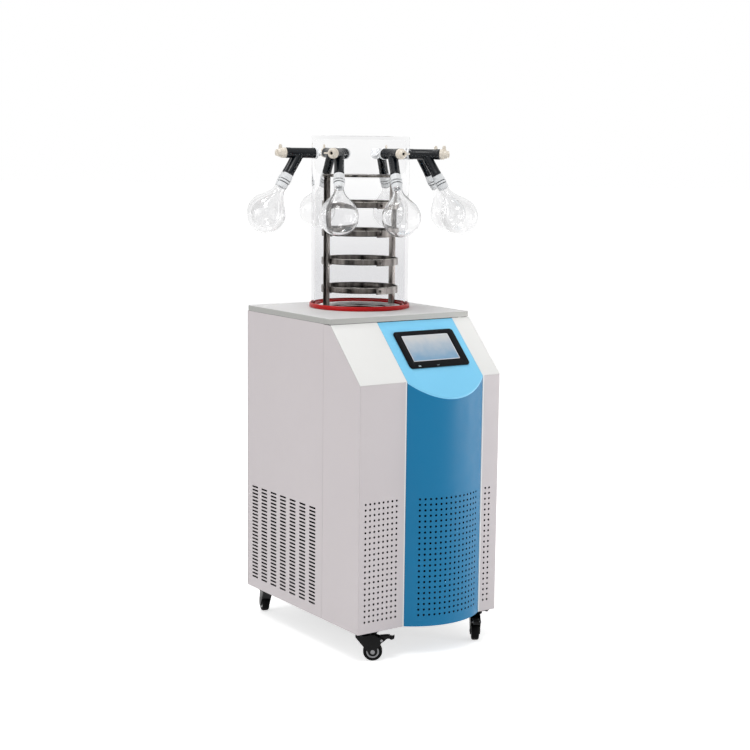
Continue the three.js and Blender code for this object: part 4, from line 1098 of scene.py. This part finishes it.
    def rear(self) -> None:
        """Builds the rear panel with its openings, the vacuum stub and the panel's screws."""
        upright = shifted(0, self.back, 0) @ turned(90, "X")
        outline = [(self.left, self.base), (self.right, self.base),
                   (self.right, self.top), (self.left, self.top)]
        holes = [rectangle(*self.inlet, 0, self.inlet_at), circle(self.port, 40, self.port_at)]
        plate = Shape().slab(outline, 0, self.wall, holes).soften(0.6, 2)
        plate.moved(upright).deliver("rear_plate", Finish.GREY, self.place, ["rear_panel"])
        tube = self.port + 2
        stub = Shape().lathe([(self.port, -1), (tube, -1), (tube, 25), (20, 27), (20, 30),
                              (self.port, 30)], 48, True)
        stub.soften(0.6, 2).moved(shifted(self.port_at[0], self.back, self.port_at[1]) @ turned(-90, "X"))
        stub.deliver("vacuum_stub", Finish.ZINC, self.place)
        heads = Shape()
        for x in (self.left + 14, 0, self.right - 14):
            for z in (self.base + 16, (self.base + self.top) / 2, self.top - 20):
                heads.add(pan_head(self.screw).moved(shifted(x, self.back, z) @ turned(-90, "X")))
        heads.deliver("rear_screws", Finish.ZINC, self.place)

    def baffles(self) -> None:
        """Builds dark sheets inside the right side and the rear: painted shade that keeps light from showing
        through the holes.
        """
        low, high = self.base + 30, self.top - 6
        near, far = self.flank_end + 6, self.back - 22
        side = Shape().slab([(near, low), (far, low), (far, high), (near, high)], 0, self.shade_sheet_thickness)
        side.moved(shifted(self.right - 15) @ turned(90) @ turned(90, "X"))
        left, right = self.left + 16, self.right - 18
        rear = Shape().slab([(left, low), (right, low), (right, high), (left, high)], 0, self.shade_sheet_thickness)
        side.add(rear.moved(shifted(0, self.back - 16) @ turned(90, "X")))
        side.deliver("painted_shade_sheets", Finish.INNER, self.place)

    def deck(self) -> None:
        """Builds the brushed deck, folded down all round and open over the cold trap."""
        middle = (0, (self.slope_back + self.back) / 2)
        size = (self.width, self.back - self.slope_back)
        cup = circle(self.deck_hole, 72, (self.chamber_at[0], self.chamber_at[1] - middle[1]))
        foot = self.fit - self.deck_height
        shape = Shape().slab(rectangle(*size, 5.5, steps=6), foot, 0, [cup])
        floor = [face for face in shape.mesh.faces if face.calc_center_median().z < foot + 0.5]
        bmesh.ops.delete(shape.mesh, geom=floor, context="FACES")
        walls = [face for face in shape.mesh.faces if abs(face.normal.z) < 0.5
                 and (face.calc_center_median().xy - Vector(cup[0]).lerp(Vector(cup[36]), 0.5)).length < 80]
        bmesh.ops.delete(shape.mesh, geom=walls, context="FACES")
        shape.soften(1.1, 3, 50)
        # Faces of the folded-down edge take the darker deck steel, painted shade.
        for face in shape.mesh.faces:
            face.material_index = int(face.calc_center_median().z < -0.9)
        top = self.top + self.fit + self.deck_height
        shape.moved(shifted(middle[0], middle[1], top)).deliver(
            "deck_plate", Finish.DECK, self.place, ["top_deck"], wall=self.wall, lining=Finish.FOLD)


def pan_head(radius: float) -> Shape:
    """Makes a pan-head screw's head with a cross recess, seated on Z = 0.

    Args:
        radius: The head's radius.

    Returns:
        The head.
    """
    head = Shape().lathe([(0, 0), (radius, 0), (radius, radius * 0.3), (radius * 0.72, radius * 0.58),
                          (0, radius * 0.64)], 20)
    for angle in (0, 90):
        groove = Shape().slab(rectangle(radius, radius * 0.22), radius * 0.6, radius * 0.66)
        head.add(groove.moved(turned(angle)))
    return head


@dataclass
class Console:
    """Rounded screen housing with its display."""

    size: tuple[float, float] = (188, 118)
    corner: float = 9
    proud: float = 3.5
    glass: tuple[float, float] = (146, 83)
    glass_at: Point = (-1, 3)
    gap: float = 0.3

    def build(self, cabinet: Cabinet) -> None:
        """Builds the housing, the display and the housing's small marks on the cabinet's slope.

        Args:
            cabinet: The cabinet that carries them.
        """
        seat = cabinet.on_slope() @ shifted(*cabinet.console_at)
        low, top = self.gap, self.gap + self.proud
        frame_shape = Shape().slab(rectangle(*self.size, self.corner, steps=8), low, top,
                                   [rectangle(*self.glass, 1.5, self.glass_at, 2)]).soften(1.1, 3, 50)
        module = Shape().slab(rectangle(*(side - 1 for side in cabinet.console_opening)), -16, low + 0.5)
        frame_shape.add(module).moved(seat).deliver(
            "screen_housing", Finish.BLACK, cabinet.place, ["screen_bezel"])
        wide, high = self.glass[0] - 0.6, self.glass[1] - 0.6
        under, over = top - 2 + self.gap, top - 0.6
        pane = Shape().slab(rectangle(wide - 4, high - 4, 0.8, self.glass_at, 2), under, over)
        pane.moved(seat).deliver("display_pane", Finish.SCREEN, cabinet.place, ["screen_glass"])
        margin = Shape().slab(rectangle(wide, high, 1.2, self.glass_at, 2), under, over,
                              [rectangle(wide - 3.9, high - 3.9, 0.8, self.glass_at, 2)])
        margin.moved(seat).deliver("display_margin", Finish.MARGIN, cabinet.place)
        marks = Shape().slab(rectangle(7.5, 3.4, 0.8, (-64, -53.5)), top - 0.4, top + 0.05)
        for x in (-9.5, -6.5, -3.5):
            marks.add(Shape().slab(circle(0.8, 12, (x, -54.5)), top - 0.4, top + 0.05))
        marks.moved(seat).deliver("console_marks", Finish.MARK, cabinet.place)


@dataclass
class Chamber:
    """Cold trap, gasket and clear chamber on the deck."""

    inside: float = 121.5
    outside: float = 130
    height: float = 454.99
    lid: float = 10
    foot: float = 4.6
    trap: float = 74
    trap_depth: float = 240
    place: Matrix = field(default_factory=Places.chamber)

    def build(self) -> None:
        """Builds the trap, the gasket and the chamber."""
        self.cold_trap()
        self.gasket()
        self.shell()

    def cold_trap(self) -> None:
        """Builds the trap's cup and its flange on the deck."""
        outer = self.trap + 2
        coils: list[Point] = []
        for turn in range(2):
            middle = 40 * (turn + 1) - self.trap_depth
            coils += [(outer + 5 * math.cos(a), middle + 5 * math.sin(a))
                      for a in (math.radians(-90 + 30 * k) for k in range(7))]
        cup = [(0, -self.trap_depth), (outer, -self.trap_depth), *coils, (outer, 0.3),
               (self.trap, 0.3), (self.trap, 2 - self.trap_depth), (0, 2 - self.trap_depth)]
        # The cup is near-black, painted shade of the trap's inside.
        Shape().lathe(cup, 72).deliver("trap_cup", Finish.TRAP, self.place, ["cold_trap"])
        flange = [(self.trap, 0.3), (115, 0.3), (115, 2.3), (self.trap + 1, 2.3), (self.trap, 1.6)]
        Shape().lathe(flange, 72, True).deliver("trap_flange", Finish.BRIGHT, self.place)

    def gasket(self) -> None:
        """Builds the red ring with the groove that holds the chamber's foot."""
        rim = self.outside + 5
        profile = [
            (self.inside - 5, 0.3), (rim - 1.5, 0.3), (rim, 1.8), (rim, 10.3), (rim - 0.8, 11.8),
            (rim - 2.4, 12.3), (rim - 4, 11.8), (self.outside + 0.3, 10.6), (self.outside + 0.3, 4.3),
            (self.inside - 0.3, 4.3), (self.inside - 0.3, 8.4), (self.inside - 1.2, 9.2),
            (self.inside - 3.8, 9.2), (self.inside - 5, 8.2)]
        Shape().lathe(profile, 96, True).deliver(
            "gasket_ring", Finish.GASKET, self.place, ["chamber_gasket"], crease=50)

    def shell(self) -> None:
        """Builds the clear chamber with its polished lid."""
        top, under = self.height, self.height - self.lid
        profile = [
            (0, under), (self.inside - 2, under), (self.inside, under - 2), (self.inside, self.foot),
            (self.outside, self.foot), (self.outside, top - 2), (self.outside - 0.6, top - 0.6),
            (self.outside - 2, top), (0, top)]
        Shape().lathe(profile, 96).deliver(
            "clear_chamber", Finish.ACRYLIC, self.place, ["chamber"], crease=40)


@dataclass
class Rack:
    """Welded steel rack with its trays."""

    levels: Sequence[float] = (43, 118, 193, 268)
    top: float = 353.5
    sheet: float = 2
    tray_radius: float = 100
    tray_rim: float = 16
    hoop: float = 102.8
    hoop_height: float = 17
    open_from: float = 184
    open_to: float = 262
    post_outer: float = 110.8
    post_width: float = 17
    floor: float = 2.6
    place: Matrix = field(default_factory=Places.chamber)

    def build(self) -> None:
        """Builds the rack's parts and the trays."""
        self.base()
        self.posts()
        self.cap()
        for number, level in enumerate(self.levels, 1):
            self.support(number, level)
            self.tray(number, level)

    def base(self, inner: float = 88, bar: float = 8) -> None:
        """Builds the base ring and its crossed bars.

        Args:
            inner: Inner radius of the ring.
            bar: Width of a bar.
        """
        low, high = self.floor, self.floor + self.sheet
        outer = self.post_outer
        shape = Shape().lathe([(inner, low), (outer, low), (outer, high), (inner, high)], 72, True)
        for angle in (-9, 120):
            shape.add(Shape().slab(rectangle(2 * inner + 4, bar), low, high - 0.05).moved(turned(angle)))
        shape.soften(0.4, 1, 60).deliver("rack_base", Finish.BRIGHT, self.place, ["rack_frame"])

    def posts(self) -> None:
        """Builds the two channel posts."""
        half, inner = self.post_width / 2, self.hoop - self.sheet
        channel = [(inner, -half), (self.post_outer, -half), (self.post_outer, self.sheet - half),
                   (self.hoop, self.sheet - half), (self.hoop, half - self.sheet),
                   (self.post_outer, half - self.sheet), (self.post_outer, half), (inner, half)]
        for name, angle in (("rack_post_right", 0), ("rack_post_left", 180)):
            shape = Shape().slab(channel, self.floor, self.top - 0.2).soften(0.5, 2, 60)
            shape.moved(turned(angle)).deliver(name, Finish.RACK, self.place)

    def cap(self) -> None:
        """Builds the top shelf with its turned-down rim."""
        rim = self.hoop
        profile = [(0, self.top - self.sheet), (rim - self.sheet, self.top - self.sheet),
                   (rim - self.sheet, self.top - 6), (rim, self.top - 6), (rim, self.top - 1.5),
                   (rim - 1.5, self.top), (0, self.top)]
        Shape().lathe(profile, 72).deliver("rack_shelf", Finish.TRAY, self.place)

    def support(self, number: int, level: float) -> None:
        """Builds the bent strip that holds a tray, with the hole near its free end, and its lugs.

        Args:
            number: The tray's number from below.
            level: The tray's underside above the deck.
        """
        low = level - 0.3 - self.sheet
        sweep = 360 - (self.open_to - self.open_from)
        arc = circle(self.hoop, 90, start=self.open_to - 360, sweep=sweep)
        route = Route(arc)
        spot = math.radians(6) * self.hoop
        shape = Shape().sheet(route.lines([spot - 7, spot + 7]), [low, low + self.hoop_height])
        strip = shape.mesh
        cells = [f for f in strip.faces if abs(f.calc_center_bounds().x - spot) < 8]
        if len(cells) > 1:
            bmesh.ops.dissolve_faces(strip, faces=cells, use_verts=True)
        shape.punch(lambda x, z: abs(x - spot) < 3, 8, 8)
        shape.bend(route)
        shape.deliver(f"rack_hoop_{number}", Finish.RACK, self.place, wall=self.sheet)
        lugs = Shape()
        for angle in (0, 90, 180):
            lug = rectangle(11, self.post_width / 2, 1, (self.tray_radius - 9 + 5.5, 0), 2)
            lugs.add(Shape().slab(lug, low + 0.05, level - 0.35).moved(turned(angle)))
        lugs.deliver(f"rack_lugs_{number}", Finish.RACK, self.place)

    def tray(self, number: int, level: float) -> None:
        """Builds one round tray with an upright, rolled rim.

        Args:
            number: The tray's number from below.
            level: Its underside above the deck.
        """
        r, h = self.tray_radius, level + self.tray_rim
        profile = [(0, level), (r - 3, level), (r - 0.9, level + 0.9), (r, level + 3), (r, h - 1.6),
                   (r - 1.6, h - 1.6), (r - 1.6, level + 3.6), (r - 3.4, level + 1.6), (0, level + 1.5)]
        Shape().lathe(profile, 96).deliver(
            f"drying_tray_{number}", Finish.TRAY, self.place, [f"tray_{number}"], crease=45)
        # The rolled rim is in paler steel, a painted highlight.
        rolled = [(r - 1.6, h - 1.55), (r, h - 1.55), (r, h - 0.7), (r - 0.5, h), (r - 1.1, h),
                  (r - 1.6, h - 0.7)]
        Shape().lathe(rolled, 96, True).deliver(f"tray_rim_{number}", Finish.EDGE, self.place)


@dataclass
class FlaskArm:
    """A rubber valve on the chamber, with its knob, adapter and flask; angles in degrees."""

    number: int
    swing: float
    wing: float
    first: float = -97
    spacing: float = 45
    height: float = 409
    collar_face: float = 130.3
    tube_start: float = 136.3
    tube_length: float = 82
    tube: float = 13.8
    collar: float = 15
    branch_from: float = 42
    branch: float = 13
    branch_length: float = 64
    lean: float = 30.5
    knob_radius: float = 13.5
    knob_length: float = 23
    adapter_length: float = 40
    flask_length: float = 131.7
    bulb: float = 49.7
    neck: float = 13
    glass: float = 1.8

    def __post_init__(self) -> None:
        """Works out the arm's frame, and the branch's frame on it with Z along the branch."""
        turn = self.first + self.spacing * (self.number - 1)
        self.arm = Places.chamber() @ shifted(0, 0, self.height * MM) @ turned(turn)
        self.branch_frame = (turned(self.swing, "X") @ shifted(self.tube_start + self.branch_from)
                             @ turned(180 - self.lean, "Y"))

    def build(self) -> None:
        """Builds the arm's pieces."""
        self.valve()
        self.knob()
        self.adapter()
        self.flask()

    def valve(self) -> None:
        """Builds a valve's tube, branch and collar."""
        start, end, r = self.tube_start, self.tube_start + self.tube_length, self.tube
        barrel = Shape().lathe([
            (0, start + 0.2), (r - 1.6, start + 0.2), (r - 0.3, start + 1),
            (r, start + 2.6), (r, start + 8), (r - 0.5, start + 8.8), (r - 0.5, end - 12), (r, end - 11.4),
            (r, end - 1.2), (r - 1.2, end), (4.8, end), (4.8, end - 12.8), (0, end - 12.8)], 40)
        wide, tip = self.branch, self.branch_length
        limb = Shape().lathe([
            (0, 4), (wide, 6), (wide - 0.3, tip - 8), (wide + 0.2, tip - 7), (wide, tip - 1), (wide - 1, tip),
            (8, tip), (8, tip + 26), (0, tip + 26)], 40)
        barrel.moved(turned(90, "Y")).add(limb.moved(self.branch_frame))
        barrel.deliver(f"valve_{self.number}", Finish.RUBBER, self.arm, [f"valve_body_{self.number}"])
        collar = Shape().lathe([
            (0, 119.5), (7.5, 119.5), (7.5, self.collar_face), (self.collar - 0.6, self.collar_face),
            (self.collar, self.collar_face + 0.8), (self.collar, start - 2), (self.collar - 1.6, start),
            (0, start)], 40).moved(turned(90, "Y"))
        collar.deliver(f"port_collar_{self.number}", Finish.SLEEVE, self.arm)

    def knob(self) -> None:
        """Builds a valve's cream knob with its wing, and a black disc at the bottom of the hole in its end,
        painted shade of the hole.
        """
        start = self.tube_start + self.tube_length + 1
        end, stem, r = start + self.knob_length, start - 13, self.knob_radius
        body = Shape().lathe([
            (0, stem), (4, stem), (4, start), (r - 1, start), (r, start + 1), (r, start + 8.6),
            (r - 0.8, start + 10), (r - 2.3, start + 10.6), (r - 3, start + 16), (r - 4.6, end - 1.4),
            (r - 5.4, end - 0.3), (7.2, end), (6.2, end - 0.4), (3.8, end - 3.4), (3.8, end - 9),
            (0, end - 9)], 40).moved(turned(90, "Y"))
        blade = Shape().slab([(start + 5, 0), (end - 8, 0), (end - 8.4, 18), (end - 10, 22),
                              (end - 12.4, 23.5), (start + 7.6, 23), (start + 5.2, 19.4)], -2, 2)
        blade.soften(1.2, 3)
        body.add(blade.moved(turned(90, "X")).moved(turned(self.wing, "X")))
        rides = f"knob_{self.number}"
        body.deliver(rides, Finish.CREAM, self.arm, [f"valve_knob_{self.number}"], rides)
        # A black disc at the bottom of the knob's hole: painted shade of the hole.
        screw = Shape().lathe([(0, end - 8.9), (3.4, end - 8.9), (3.4, end - 7), (2.8, end - 6.4),
                               (0, end - 6.4)], 24).moved(turned(90, "Y"))
        screw.deliver(f"knob_hole_shade_{self.number}", Finish.BLACK, self.arm, body=rides)

    def adapter(self) -> None:
        """Builds the ribbed sleeve between a branch and its flask."""
        z = self.branch_length
        profile = [(8.8, 0.3), (13.2, 0.3), (14, 1.2), (14.2, 12), (15.5, 13), (15.5, 16.6), (13.4, 17.5),
                   (13.4, 19.1), (15.3, 20), (15.3, 24), (13.2, 24.9), (13.2, 26.5), (14.3, 27.4),
                   (13.5, 38.8), (12.6, 39.8), (8.8, 39.8)]
        sleeve = Shape().lathe([(r, z + rise) for r, rise in profile], 40, True).moved(self.branch_frame)
        sleeve.deliver(f"adapter_{self.number}", Finish.SLEEVE, self.arm)
        bands = Shape()
        for level in (18.3, 25.7):
            bead = [(13.2, z + level - 1), (14, z + level), (13.2, z + level + 1)]
            bands.add(Shape().lathe(bead, 40, True))
        bands.moved(self.branch_frame).deliver(f"adapter_bands_{self.number}", Finish.RUBBER, self.arm)

    def flask(self) -> None:
        """Blows a pear-shaped flask."""
        neck_end = self.branch_length + self.adapter_length
        middle = neck_end + self.flask_length - self.bulb

        def pear(radius: float, neck: float) -> list[Point]:
            """Gives the bulb and its shoulder from the lowest point up to the neck.

            Args:
                radius: The bulb's radius.
                neck: The neck's radius.

            Returns:
                Radius and height of each point.
            """
            made = [(radius * math.sin(a), middle + radius * math.cos(a))
                    for a in (math.radians(108 * k / 22) for k in range(23))]
            made[0] = (0.0, made[0][1])
            (r0, z0), (r1, z1) = made[-1], (neck, neck_end + 6)
            reach = z1 - z0
            for step in range(1, 13):
                t = step / 12
                start, leave = 2 * t ** 3 - 3 * t ** 2 + 1, t ** 3 - 2 * t ** 2 + t
                stop, arrive = 3 * t ** 2 - 2 * t ** 3, t ** 3 - t ** 2
                r = (start * r0 + leave * reach * math.tan(math.radians(18)) + stop * r1
                     + arrive * reach * 0.02)
                made.append((r, z0 + reach * t))
            return made

        outer = pear(self.bulb, self.neck)
        inner = pear(self.bulb - self.glass, self.neck - self.glass)
        lip = [(self.neck, neck_end + 0.4), (self.neck - self.glass, neck_end + 0.4)]
        shape = Shape().lathe([*outer, *lip, *reversed(inner)], 48).moved(self.branch_frame)
        shape.deliver(f"pear_flask_{self.number}", Finish.GLASS, self.arm, [f"flask_{self.number}"],
                      crease=50)


@dataclass
class Caster:
    """One swivel caster, with or without a brake."""

    number: int
    braked: bool
    wheel: float = 25
    tyre: float = 24.37
    width: float = 20
    trail: float = 24
    plate_side: float = 60
    plate_top: float = 79.7
    bolt_at: float = 22
    crown: float = 69.4
    sheet: float = 2.5
    play: float = 0.75
    brake_at: tuple[float, float] = (46, 55)

    def __post_init__(self) -> None:
        """Reads the caster's frame."""
        self.place = Places.caster(self.number)

    def build(self) -> None:
        """Builds the caster's pieces."""
        self.plate()
        self.fork()
        self.roller()
        if self.braked:
            self.brake()

    def plate(self) -> None:
        """Builds the fixed plate with its raceway and bolt heads."""
        low = self.plate_top - 3
        square = Matrix.Translation(self.place.translation)
        outline = rectangle(self.plate_side, self.plate_side, 8)
        shape = Shape().slab(outline, low, self.plate_top).soften(0.6, 2)
        shape.add(Shape().lathe([(0, low + 0.5), (15, low + 0.5), (16, low - 1.5), (16, low - 5),
                                 (14.5, low - 7), (4, low - 7), (4, 66), (0, 66)], 40))
        for x in (-self.bolt_at, self.bolt_at):
            for y in (-self.bolt_at, self.bolt_at):
                shape.add(Shape().lathe([(0, low - 4), (4, low - 4), (4.8, low - 3.2), (4.8, low + 0.2),
                                         (0, low + 0.2)], 6).moved(shifted(x, y, 0)))
        shape.deliver(f"caster_seat_{self.number}", Finish.CASTER, square, [f"caster_plate_{self.number}"])

    def cheek(self) -> list[Point]:
        """Gives the outline of a fork's cheek in the wheel's plane: points along the trail and up."""
        top = self.crown
        boss = [(self.trail + 10 * math.cos(a), self.wheel + 10 * math.sin(a))
                for a in (math.radians(205 + 15 * k) for k in range(13))]
        if self.braked:
            x, z = self.brake_at
            return [(-20, top), (-20, top - 6), *boss, (x + 1, z - 5), (x + 4.6, z - 2.4), (x + 5, z + 2),
                    (x + 2, z + 4.8), (self.trail + 8, top - 3), (self.trail + 4, top)]
        return [(-20, top), (-20, top - 6), *boss, (24, top - 12), (24, top)]

    def fork(self) -> None:
        """Builds the swivelling fork with its cheeks, axle and rivets."""
        gap = self.width / 2 + self.play
        out = gap + self.sheet
        top = self.crown
        shape = Shape().lathe([(4.8, top), (18.5, top), (20, top - 1), (20, top - 2.5), (4.8, top - 2.5)],
                              40, True)
        upright = turned(90, "X")
        for low in (gap, -out):
            side = Shape().slab(self.cheek(), low, low + self.sheet)
            shape.add(side.soften(0.7, 2, 50).moved(upright))
        web = [(-20, top - 0.3), (-20, 63.4), (-0.8, 40), (1.1, 41.6), (-18.1, 65), (-17.5, top - 0.3)]
        shape.add(Shape().slab(web, -gap - 1, gap + 1).moved(upright))
        rides = f"caster_{self.number}"
        shape.deliver(f"fork_{self.number}", Finish.CASTER, self.place, [f"caster_fork_{self.number}"], rides)
        pins = Shape()
        spots = [(self.trail, self.wheel, 3.6, 5.6)] + ([(*self.brake_at, 2.5, 3.6)] if self.braked else [])
        for x, z, shank, head in spots:
            reach = out - 0.2
            pins.add(Shape().lathe([
                (0, -reach - 1.6), (head * 0.7, -reach - 1.4), (head, -reach - 0.2), (shank, -reach),
                (shank, reach), (head, reach + 0.2), (head * 0.7, reach + 1.4), (0, reach + 1.6)], 24)
                .moved(shifted(x, 0, z) @ turned(90, "X")))
        pins.deliver(f"caster_pins_{self.number}", Finish.RING, self.place, body=rides)

    def roller(self) -> None:
        """Builds the wheel: its tyre, hub and the pale ring of its bearing cover."""
        half, r = self.width / 2, self.tyre
        axle = shifted(self.trail, 0, self.wheel) @ turned(90, "X")
        rides = f"wheel_{self.number}"
        tyre = [(17, -half + 1.2), (r - 5, -half), (r - 2.4, 0.7 - half), (r - 0.7, 2.6 - half),
                (r, 5 - half), (r, half - 5), (r - 0.7, half - 2.6), (r - 2.4, half - 0.7), (r - 5, half),
                (17, half - 1.2)]
        Shape().lathe(tyre, 48, True).moved(axle).deliver(
            f"tyre_{self.number}", Finish.TREAD, self.place, [f"caster_wheel_{self.number}"], rides)
        hub = [(4.8, -half + 0.6), (9, -half + 0.6), (10, -half + 2), (17.2, -half + 2), (17.2, half - 2),
               (10, half - 2), (9, half - 0.6), (4.8, half - 0.6)]
        Shape().lathe(hub, 40, True).moved(axle).deliver(
            f"hub_{self.number}", Finish.CASTER, self.place, body=rides)
        rings = Shape()
        for side in (-1, 1):
            z = side * (half - 2)
            rings.add(Shape().lathe([(12, z - side * 0.5), (12.4, z + side * 0.9), (16, z + side * 0.9),
                                     (16.6, z - side * 0.5)], 40, True))
        rings.moved(axle).deliver(f"hub_rings_{self.number}", Finish.RING, self.place, body=rides)

    def brake(self) -> None:
        """Builds the waved brake pedal."""
        wave = [(-6, -3), (2, -7), (8, -2), (12, 1.9), (16, 3.8), (20, 3.4), (24, 1), (27.5, 1.6), (31, 3),
                (32.4, 6), (33, 11), (29.5, 8.4), (26, 7.9), (22, 9.2), (18, 12), (12, 11.6), (6, 11),
                (-4, 10)]
        shape = Shape().slab(wave, -8, 8, [circle(3.3, 20)]).soften(0.8, 2, 40)
        for x in (20.5, 24.5, 28.5):
            shape.add(Shape().lathe([(0, -7), (0.9, -7), (0.9, 7), (0, 7)], 12)
                      .moved(shifted(x, 11.6 - abs(x - 20) * 0.42, 0)))
        pin = shifted(self.brake_at[0], 0, self.brake_at[1]) @ turned(90, "X")
        shape.moved(pin).deliver(
            f"pedal_{self.number}", Finish.CASTER, self.place, [f"caster_brake_{self.number}"],
            f"brake_{self.number}")


# ---------------------------------------------------------------- studio


@dataclass
class Studio:
    """Camera, lamps, world and floor."""

    azimuth: float = -34.496
    elevation: float = 8.157
    distance: float = 4.1
    aim: tuple[float, float, float] = (-0.012357, -0.053367, 0.685337)
    roll: float = 0.672
    lens: float = 74.018
    sky: float = 0.5
    floor_glow: float = 0.62
    floor_radius: float = 60
    lit_point: tuple[float, float, float] = (0, 0, 0.65)
    lamps: Sequence[tuple[str, Sequence[float], tuple[float, float], float]] = (
        ("key", (-1.5, -1.4, 3.9), (1.1, 1.1), 33),
        ("top", (-0.5, 0.9, 4.0), (0.8, 0.8), 26),
        ("front", (3.4, -3.9, 1.0), (1.2, 2.2), 14),
        ("low_front", (1.75, -2.05, 0.42), (0.6, 0.8), 8),
        ("low_corner", (2.4, -1.2, 0.42), (0.6, 0.8), 8),
        ("right", (4.6, -0.4, 0.9), (1.1, 2.2), 18),
        ("left", (-4.8, -0.4, 2.0), (3.0, 3.0), 42))

    def build(self) -> None:
        """Sets up everything that isn't part of the machine."""
        self.camera()
        self.world()
        self.floor()
        for name, place, size, power in self.lamps:
            self.lamp(name, place, size, power)
        bpy.context.scene.view_settings.view_transform = "Standard"

    def camera(self) -> None:
        """Makes the camera and makes it the scene's."""
        data = bpy.data.cameras.new("camera")
        data.lens = self.lens
        data.sensor_width = 36
        data.clip_end = 200
        made = bpy.data.objects.new("camera", data)
        bpy.context.scene.collection.objects.link(made)
        turn, rise = math.radians(self.azimuth), math.radians(self.elevation)
        back = Vector((math.sin(turn) * math.cos(rise), -math.cos(turn) * math.cos(rise), math.sin(rise)))
        facing = (-back).to_track_quat("-Z", "Y").to_matrix().to_4x4()
        place = Matrix.Translation(Vector(self.aim) + back * self.distance)
        made.matrix_world = place @ facing @ Matrix.Rotation(math.radians(self.roll), 4, "Z")
        bpy.context.scene.camera = made

    def lamp(self, name: str, place: Sequence[float], size: tuple[float, float], power: float) -> None:
        """Adds a soft box that faces the machine's middle.

        Args:
            name: The lamp's name.
            place: Where it stands, in metres.
            size: Its width and height.
            power: Watts.
        """
        data = bpy.data.lights.new(name, "AREA")
        data.shape, data.size, data.size_y, data.energy = "RECTANGLE", *size, power
        made = bpy.data.objects.new(name, data)
        bpy.context.scene.collection.objects.link(made)
        towards = Vector(self.lit_point) - Vector(place)
        made.matrix_world = Matrix.Translation(place) @ towards.to_track_quat("-Z", "Y").to_matrix().to_4x4()

    def world(self) -> None:
        """Lights the scene evenly and shows plain white to the eye, gloss and glass."""
        world = bpy.data.worlds.new("studio")
        bpy.context.scene.world = world
        world.use_nodes = True
        tree = world.node_tree
        tree.nodes.clear()
        mix = tree.nodes.new("ShaderNodeMixShader")
        tree.links.new(seen_rays(tree), mix.inputs[0])
        for socket, strength in ((mix.inputs[1], self.sky), (mix.inputs[2], 1.0)):
            light = tree.nodes.new("ShaderNodeBackground")
            light.inputs["Strength"].default_value = strength
            light.inputs["Color"].default_value = WHITE_LIGHT
            tree.links.new(light.outputs[0], socket)
        out = tree.nodes.new("ShaderNodeOutputWorld")
        tree.links.new(mix.outputs[0], out.inputs["Surface"])

    def floor(self) -> None:
        """Lays a wide pale floor that keeps the machine's shadow."""
        shape = bmesh.new()
        bmesh.ops.create_circle(shape, cap_ends=True, segments=48, radius=self.floor_radius)
        mesh = bpy.data.meshes.new("floor")
        shape.to_mesh(mesh)
        shape.free()
        made = bpy.data.objects.new("floor", mesh)
        bpy.context.scene.collection.objects.link(made)
        recipe = Recipe("pale_floor")
        recipe.coat(Base_Color=(0.86, 0.86, 0.86), Roughness=0.9, Specular_IOR_Level=0.1)
        glow = recipe.node("Emission")
        glow.inputs["Color"].default_value = WHITE_LIGHT
        share = recipe.node("Math", operation="MULTIPLY")
        share.inputs[1].default_value = self.floor_glow
        recipe.join(seen_rays(recipe.tree), share.inputs[0])
        recipe.join(share.outputs[0], glow.inputs["Strength"])
        add = recipe.node("AddShader")
        recipe.join(recipe.shader.outputs["BSDF"], add.inputs[0])
        recipe.join(glow.outputs[0], add.inputs[1])
        recipe.join(add.outputs[0], recipe.output.inputs["Surface"])
        made.data.materials.append(recipe.material)


def dress_frame() -> None:
    """Gives every frame node the finish of its slot."""
    finishes = {finish.slot_name: finish for finish in reversed(Finish)}
    for name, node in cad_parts.items():
        for slot in node.material_slots:
            base = slot.material.name.split(".")[0] if slot.material else ""
            if base in finishes:
                slot.material = finishes[base].material
            else:
                log.warning("frame node %s has the unknown slot %s", name, base)


def main() -> None:
    """Builds the machine's looks and the studio."""
    logging.basicConfig(level=logging.INFO, format="%(name)s: %(message)s", stream=sys.stdout)
    dress_frame()
    cabinet = Cabinet()
    cabinet.build()
    Console().build(cabinet)
    Chamber().build()
    Rack().build()
    for number, (swing, wing) in enumerate(ARM_ANGLES, 1):
        FlaskArm(number, swing, wing).build()
    for number in CASTERS:
        Caster(number, number in BRAKED_CASTERS).build()
    Studio().build()


if __name__ == "__main__":
    main()
